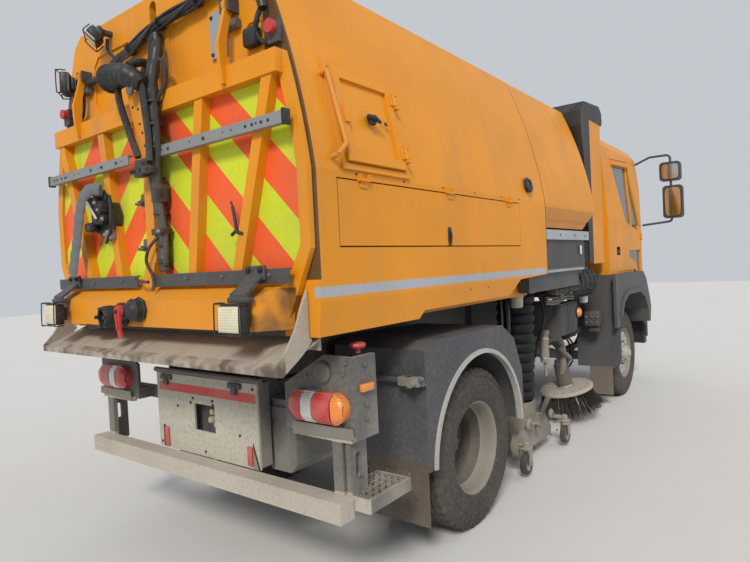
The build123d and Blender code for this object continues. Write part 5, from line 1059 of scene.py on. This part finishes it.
def suction_hoses():
    for side, name in SIDES:
        p = Piece("suction_hose_" + name, "hose", side)
        foot, head = p.spot((1.44, 0.77, 0.48)), p.spot((1.46, 0.8, 1.487))
        axis, length = (head - foot).normalized(), (head - foot).length
        profile = [(0.14, 0.0)]
        rings, steps = 12, 9
        for k in range(rings):
            for i in range(steps):
                bulge = abs(sin(pi * i / steps)) ** 0.75
                profile.append((0.143 + (0.022 + 0.002 * sin(k * 2.7)) * bulge,
                                (k + i / steps) / rings * length))
        p.lathe(profile + [(0.143, length), (0.14, length)], foot, axis, 48)
        for v in p.mesh.verts:
            h = (v.co - foot).dot(axis)
            v.co += Vector((0.004 * sin(h * 31), 0.003 * sin(h * 23), 0)) * sin(pi * h / length)
        made = p.done(None, "hose_rubber", "suction_hoses")
        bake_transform(made)

        p = Piece("hose_clamps_" + name, "band bolt straw black machinery", side)
        band = head - axis * 0.055
        p.ring([(0.158, -0.018), (0.17, -0.018), (0.171, 0.0), (0.17, 0.018), (0.158, 0.018)], band, axis)
        tight = band + p.way((-0.09, 0.152, 0))
        half = Vector((0.022, 0.012, 0.014))
        p.box(tight - half, tight + half, 0.004)
        p.use("bolt").bolt(tight + Vector((-0.022, 0, 0)), BACK, 0.01)
        # Filter bowl beside the hose, and the wires behind it
        p.use("straw").lathe([(0.004, 0), (0.04, 0), (0.052, 0.012), (0.054, 0.085), (0.062, 0.09),
                              (0.062, 0.105), (0.004, 0.105)], (1.235, 0.905, 1.3), UP, 28)
        p.use("black").lathe([(0.004, 0), (0.066, 0), (0.068, 0.02), (0.05, 0.05), (0.03, 0.1), (0.03, 0.17),
                              (0.004, 0.17)], (1.235, 0.905, 1.405), UP, 24)
        p.use("machinery").pipe([(1.235, 0.905, 1.56), (1.24, 0.86, 1.585), (1.3, 0.8, 1.58)], 0.022, 10)
        for dx, dy in ((-0.155, 0.0), (-0.185, 0.03), (-0.215, -0.02)):
            p.pipe([(1.44 + dx, 0.79 + dy, 1.36), (1.42 + dx, 0.8 + dy, 1.15), (1.45 + dx, 0.76 + dy, 0.95),
                    (1.43 + dx, 0.7 + dy, 0.8)], 0.011)
        p.done("chassis", "machinery")


TUFTS, BRISTLES = 66, 21


def side_brushes():
    for turn, name in SIDES:
        centre = at(2.69, turn * 0.785, 0.335)
        axis, side, other = square_to(Vector((-0.166, -turn * 0.125, 0.978)))
        p = Piece("brush_disc_" + name, "disc bristle bolt", turn)
        p.lathe([(0.004, 0.03), (0.055, 0.03), (0.06, 0.014), (0.1, 0.01), (0.235, 0.012), (0.262, 0.006),
                 (0.272, -0.004), (0.272, -0.022), (0.262, -0.028), (0.004, -0.028)], centre, axis, 72)
        p.use("bolt")
        for count, radius, size, start in ((8, 0.085, 0.008, 0), (16, 0.225, 0.006, 0.5)):
            for ray in circle(count, radius, start, side, other):
                p.bolt(centre + ray + axis * 0.011, axis, size)
        p.use("bristle")
        for k, out in enumerate(circle(TUFTS, 1, 0, side, other)):
            outer_row = k % 2
            around = axis.cross(out)
            root = centre + out * (0.235 if outer_row else 0.185) - axis * 0.02
            for _ in range(BRISTLES):
                spread = CHANCE.uniform(-0.014, 0.014)
                lean = CHANCE.uniform(-0.02, 0.02)
                reach = CHANCE.uniform(0.19, 0.222)
                flare = (0.082 if outer_row else 0.07) + CHANCE.uniform(-0.02, 0.022)
                start = root + around * spread + out * CHANCE.uniform(-0.012, 0.012)
                middle = start - axis * reach * 0.5 + out * flare * 0.35 + around * lean * 0.3
                tip = start - axis * reach + out * flare + around * lean
                if tip.z < 0.012:
                    tip = start + (tip - start) * (start.z - 0.012) / (start.z - tip.z)
                    middle = (start + tip) / 2
                p.tube([start, middle, tip], [0.0021, 0.0019, 0.0014], 3)
        p.done("side_brush_" + name, "bristles", "side_brush_" + name)
        brush_motor(name, turn, centre + axis * 0.034, axis, side, other)


def brush_motor(name, turn, top, axis, side, other):
    """Motor, spindle block and the curved arm over the disc."""
    p = Piece("brush_motor_" + name, "nozzle machinery bolt hose", turn)
    p.lathe([(0.01, 0), (0.062, 0), (0.066, 0.02), (0.052, 0.03), (0.052, 0.085), (0.07, 0.09),
             (0.07, 0.115), (0.045, 0.12), (0.045, 0.165), (0.01, 0.165)], top, axis, 28)
    p.use("bolt")
    for ray in circle(4, 0.058, 0.5, side, other):
        p.bolt(top + ray + axis * 0.115, axis, 0.01)
    p.use("nozzle")
    path = p.smooth([top + axis * 0.1 + Vector((-0.04, 0, 0)), (2.58, 0.8, 0.62), (2.57, 0.8, 0.76),
                     (2.53, 0.77, 0.865), (2.44, 0.72, 0.875), (2.36, 0.67, 0.8)], 7)
    p.tube(path, [0.03 + 0.01 * sin(pi * i / len(path)) for i in range(len(path))], 14)
    p.slab([(2.6, 0.74, 0.5), (2.72, 0.74, 0.52), (2.74, 0.74, 0.64), (2.66, 0.74, 0.72),
            (2.56, 0.74, 0.66)],
           (0, 0.03, 0))
    p.box((2.6, 0.7, 0.56), (2.7, 0.82, 0.63), 0.012)
    p.use("machinery").tube([(2.62, 0.86, 0.66), (2.36, 0.84, 0.8)], 0.024, 12)
    p.tube([(2.72, 0.86, 0.605), (2.62, 0.86, 0.66)], 0.012, 10)
    p.use("hose")
    for dy in (0.0, 0.035):
        p.pipe([top + axis * 0.14 + p.way((0.02, dy, 0)), (2.8, 0.8 + dy, 0.62), (2.78, 0.8 + dy, 0.8),
                (2.62, 0.74 + dy, 0.9), (2.46, 0.66 + dy, 0.84)], 0.01)
    p.use("bolt")
    for x, z in ((2.63, 0.54), (2.69, 0.58), (2.64, 0.67)):
        p.bolt((x, 0.772, z), OUT)
    p.done("brush_arm_" + name, "machinery")


def nozzle_details():
    """Castor wheels, links, springs and bolts on the dusty suction nozzles."""
    for side, name in SIDES:
        p = Piece("nozzle_fittings_" + name, "nozzle machinery bolt band tyre", side)
        for x in (0.905, 1.79):
            wheel = (x, 1.075, 0.112)
            p.use("tyre").ring([(0.05, -0.024), (0.072, -0.024), (0.08, -0.014), (0.08, 0.014),
                                (0.072, 0.024), (0.05, 0.024)], wheel, OUT, 32)
            p.use("band").lathe([(0.004, -0.022), (0.05, -0.022), (0.046, -0.012), (0.02, -0.026),
                                 (0.004, -0.026)], wheel, OUT, 28)
            p.lathe([(0.004, 0.026), (0.02, 0.026), (0.046, 0.012), (0.05, 0.022), (0.004, 0.022)], wheel,
                    OUT, 28)
            p.use("nozzle")
            for y in (1.041, 1.109):
                p.slab([(x - 0.022, y, 0.1), (x + 0.022, y, 0.1), (x + 0.032, y, 0.235),
                        (x - 0.032, y, 0.235)],
                       (0, 0.007, 0))
            p.box((x - 0.04, 1.03, 0.228), (x + 0.04, 1.118, 0.243), 0.004)
            p.lathe([(0.004, 0), (0.026, 0), (0.026, 0.035), (0.018, 0.045), (0.004, 0.045)],
                    (x, 1.075, 0.243), UP, 18)
            p.box((x - 0.03, 0.96, 0.25), (x + 0.03, 1.06, 0.275), 0.006)
            p.use("bolt").bolt((x, 1.11, 0.112), OUT)
        for x, z, r in ((1.12, 0.36, 0.045), (1.3, 0.3, 0.035), (1.62, 0.33, 0.04)):
            p.use("nozzle").lathe([(0.004, 0), (r, 0), (r * 1.1, 0.012), (r * 0.8, 0.024), (r * 0.4, 0.028),
                                   (0.004, 0.028)], (x, 1.006, z), OUT, 22)
            p.use("bolt").bolt((x, 1.034, z), OUT, 0.013)
        p.use("nozzle").pipe([(1.12, 1.03, 0.36), (1.22, 1.035, 0.345), (1.3, 1.03, 0.3)], 0.012)
        p.use("machinery")
        for k in range(9):
            p.band((1.4 + 0.018 * k, 1.02, 0.4 + 0.01 * k), (0.87, 0, 0.48), 0.014, 0.022, 0.004, 14)
        p.tube([(1.36, 1.02, 0.378), (1.6, 1.02, 0.51)], 0.008)
        p.use("bolt")
        for x in (1.00, 1.1, 1.2, 1.55, 1.7, 1.85):
            p.bolt((x, 1.031, 0.165), OUT, 0.01)
        p.done("nozzle_" + name, "machinery")


def machinery_details():
    """Pipes, cages, valve blocks and the marker lamp between the hose and the front guard."""
    for side, name in SIDES:
        p = Piece("side_gear_" + name, "machinery chassis amber_lens bolt hose nozzle band black clear_lens",
                  side)
        marker = (2.6, 0.966, 1.135)
        p.use("amber_lens").lathe([(0.004, 0), (0.046, 0), (0.048, 0.012), (0.04, 0.03), (0.022, 0.04),
                                   (0.004, 0.042)], marker, OUT, 24)
        p.use("black").ring([(0.046, -0.004), (0.056, -0.004), (0.056, 0.01), (0.048, 0.012)], marker, OUT,
                            24)
        # Mesh cage round the canister
        for k in range(9):
            hoop = [radians(-65 + 130 * i / 12) for i in range(13)]
            p.tube([(2.46 + k * 0.062, 0.9 + 0.171 * cos(a), 1.44 + 0.171 * sin(a)) for a in hoop], 0.0035,
                   5)
        for a in [radians(-60 + 20 * i) for i in range(7)]:
            y, z = 0.9 + 0.173 * cos(a), 1.44 + 0.173 * sin(a)
            p.tube([(2.455, y, z), (2.965, y, z)], 0.0035, 5)
        # Bowl under the canister, pipes and valve blocks under the housing
        p.use("clear_lens").lathe([(0.004, 0), (0.03, 0), (0.042, 0.012), (0.045, 0.075), (0.004, 0.075)],
                                  (2.93, 0.93, 1.205), UP, 22)
        p.use("machinery").pin((2.93, 0.93, 1.278), UP, 0.052, 0.03, 22)
        for x, z, high in ((1.86, 1.36, 0.06), (1.98, 1.33, 0.08), (2.1, 1.37, 0.05), (2.24, 1.34, 0.07),
                           (2.38, 1.36, 0.05)):
            p.use("machinery").box((x, 0.93, z), (x + 0.085, 1.02, z + high), 0.008)
            p.use("bolt").bolt((x + 0.04, 1.02, z + high / 2), OUT, 0.014)
        p.use("machinery")
        for z, r in ((1.315, 0.014), (1.29, 0.01), (1.345, 0.01)):
            p.pipe([(1.72, 0.97, z), (1.95, 0.985, z - 0.015), (2.2, 0.975, z + 0.01),
                    (2.42, 0.985, z - 0.005)], r)
        p.use("hose")
        for k in range(4):
            x = 1.66 + 0.05 * k
            p.pipe([(x, 0.93, 1.38), (x + 0.02, 0.97, 1.2), (x - 0.01, 0.93 - 0.02 * k, 1.0),
                    (x + 0.03, 0.8, 0.78)],
                   0.012)
        # Actuator beside the hose: body, gland and rod
        top, bottom = p.spot((1.98, 0.84, 0.98)), p.spot((1.94, 0.86, 0.72))
        p.use("nozzle").tube([top, bottom], 0.042, 18)
        p.tube([(1.985, 0.84, 1.02), (1.978, 0.84, 0.98)], 0.05, 18)
        p.tube([bottom, (1.925, 0.87, 0.6)], 0.016, 10)
        p.use("band")
        for t in (0.15, 0.85):
            p.band(top.lerp(bottom, t), (0.15, 0, 1), 0.042, 0.047, 0.008, 20)
        # Work gear on the front guard panel
        p.use("chassis").box((3.14, 0.86, 0.93), (3.3, 1.02, 1.09), 0.012)
        p.box((3.18, 0.9, 0.86), (3.27, 1.00, 0.93), 0.01)
        p.use("bolt")
        for z, size in ((1.03, 0.014), (0.97, 0.012)):
            p.bolts(size, 3.139, (0.88, z), (0.94, z), (1.0, z))
        # Bolts and a blank pale label on the housing
        for x in (1.42, 1.8, 2.2, 2.5):
            p.bolt((x, 1.0985, 1.905), OUT, 0.008)
        p.use("clear_lens").box((2.385, 1.084, 1.725), (2.435, 1.0875, 1.81), 0.001)
        p.done("chassis", "machinery")


def rounded(value, power=0.4):
    """Keeps the sign and draws a circle's value out towards a rounded square."""
    return abs(value) ** power * (1 if value > 0 else -1)


def cab_details():
    for side, name in SIDES:
        p = Piece("mirror_faces_" + name, "mirror black", side)
        for y0, y1, z0, z1 in ((1.3, 1.555, 2.64, 2.89), (1.33, 1.57, 2.15, 2.58)):
            w, h = (y1 - y0) / 2 - 0.022, (z1 - z0) / 2 - 0.022
            middle = p.spot((5.1185, (y0 + y1) / 2, (z0 + z1) / 2))
            outline = [middle + Vector((0, w * rounded(ray.x), h * rounded(ray.z))) for ray in circle(32)]
            p.use("mirror").slab(outline, (0.004, 0, 0))
            p.use("black").tube([q + Vector((0.0005, 0, 0)) for q in outline + outline[:1]], 0.006, 6)
        p.done("cab", "window_glass")

        p = Piece("door_handle_" + name, "black", side)
        p.box((3.85, 1.03, 1.715), (3.95, 1.062, 1.735), 0.006)
        p.pipe([(3.845, 1.045, 1.75), (3.9, 1.066, 1.752), (3.955, 1.045, 1.75)], 0.011, 10)
        p.done("door_" + name, "black_trim")

    # Wipers on the screen, then the headlamp lenses and indicators on the bumper
    p = Piece("cab_front_trim", "black")
    for y in (-0.72, -0.05):
        p.pipe([(5.405, y, 2.12), (5.4, y + 0.3, 2.3), (5.37, y + 0.55, 2.42)], 0.009)
        p.tube([(5.405, y + 0.18, 2.17), (5.345, y + 0.62, 2.56)], 0.01, 6)
        p.lathe([(0.004, 0), (0.024, 0), (0.02, 0.022), (0.004, 0.024)], (5.4, y, 2.11), (1, 0, 0.1), 16)
    p.done("cab", "black_trim")

    p = Piece("front_lamps", "clear_lens amber_lens")
    for sign in (1, -1):
        for y, wide in ((0.68, 0.15), (0.835, 0.12)):
            p.use("clear_lens").lathe([(0.004, 0.014), (wide * 0.25, 0.012), (wide * 0.38, 0.006),
                                       (wide * 0.4, 0.0), (0.004, 0.0)], (5.418, sign * y, 0.815),
                                      (1, 0, 0), 28)
        p.use("amber_lens").box((5.31, sign * 1.02, 0.84), (5.335, sign * 1.07, 0.9), 0.008)
    p.done("chassis", "lamp_lens")

    for side, name in SIDES:
        cushion("seat_cushion_" + name, at(4.285, side * 0.52, 1.79), (0.5, 0.49, 0.12), Matrix.Identity(4))
        lean = Matrix.Rotation(radians(-12), 4, "Y")
        cushion("seat_back_" + name, at(4.06, side * 0.52, 2.1), (0.14, 0.47, 0.56), lean)


def cushion(name, centre, size, turn):
    """A crowned seat pad with two sewn channels."""
    data = bmesh.new()
    bmesh.ops.create_cube(data, size=2)
    bmesh.ops.subdivide_edges(data, edges=data.edges, cuts=11, use_grid_fill=True)
    upright = size[0] < 0.3
    for v in data.verts:
        a, b, c = v.co
        channel = 1 - 0.1 * max(0.0, 1 - abs(abs(b) - 0.55) / 0.09)
        fall = [1 - 0.1 * (abs(p) ** 3 + abs(q) ** 3) for p, q in ((b, c), (a, c), (a, b))]
        fall[0 if upright else 2] *= channel
        v.co = [old * f * s / 2 for old, f, s in zip((a, b, c), fall, size)]
    p = Piece(name, "seat")
    p.take(data, Matrix.Translation(centre) @ turn)
    p.done("cab", "black_trim", smooth=60)


def add_stage():
    data = bpy.data.meshes.new("floor")
    data.from_pydata([(-30, -30, 0), (30, -30, 0), (30, 30, 0), (-30, 30, 0)], [], [(0, 1, 2, 3)])
    floor = link("floor", data)
    f = Finish("floor_pale", 0.85)
    patches = f.times(f.noise(1.3, 0.3, 0.7), 0.25)
    data.materials.append(f.finish(f.mix(patches, (0.62, 0.61, 0.6), (0.56, 0.55, 0.54))))
    world = bpy.context.scene.world or bpy.data.worlds.new("studio")
    bpy.context.scene.world = world
    world.use_nodes = True
    back = world.node_tree.nodes["Background"]
    back.inputs["Color"].default_value = (0.9, 0.94, 1, 1)
    back.inputs["Strength"].default_value = 0.62
    for name, energy, angle, turn, colour in (("key", 2.5, 14, (52, 0, -62), (1.0, 0.95, 0.86)),
                                              ("fill", 0.35, 60, (60, 0, 30), (0.95, 0.97, 1.0))):
        sun = bpy.data.lights.new(name, "SUN")
        sun.energy = energy
        sun.angle = radians(angle)
        sun.color = colour
        link(name, sun).rotation_euler = [radians(a) for a in turn]


for make in (cable_bundle, tail_lever, loom, hose_frame, flat_hose, rear_lamps, drain_valve, rail_fittings,
             header_details, hopper_details, rear_board, tail_lamps, step_teeth, guard_details, wheels,
             suction_hoses, side_brushes, nozzle_details, machinery_details, cab_details, add_stage):
    make()
bpy.context.scene.view_settings.view_transform = "Standard"
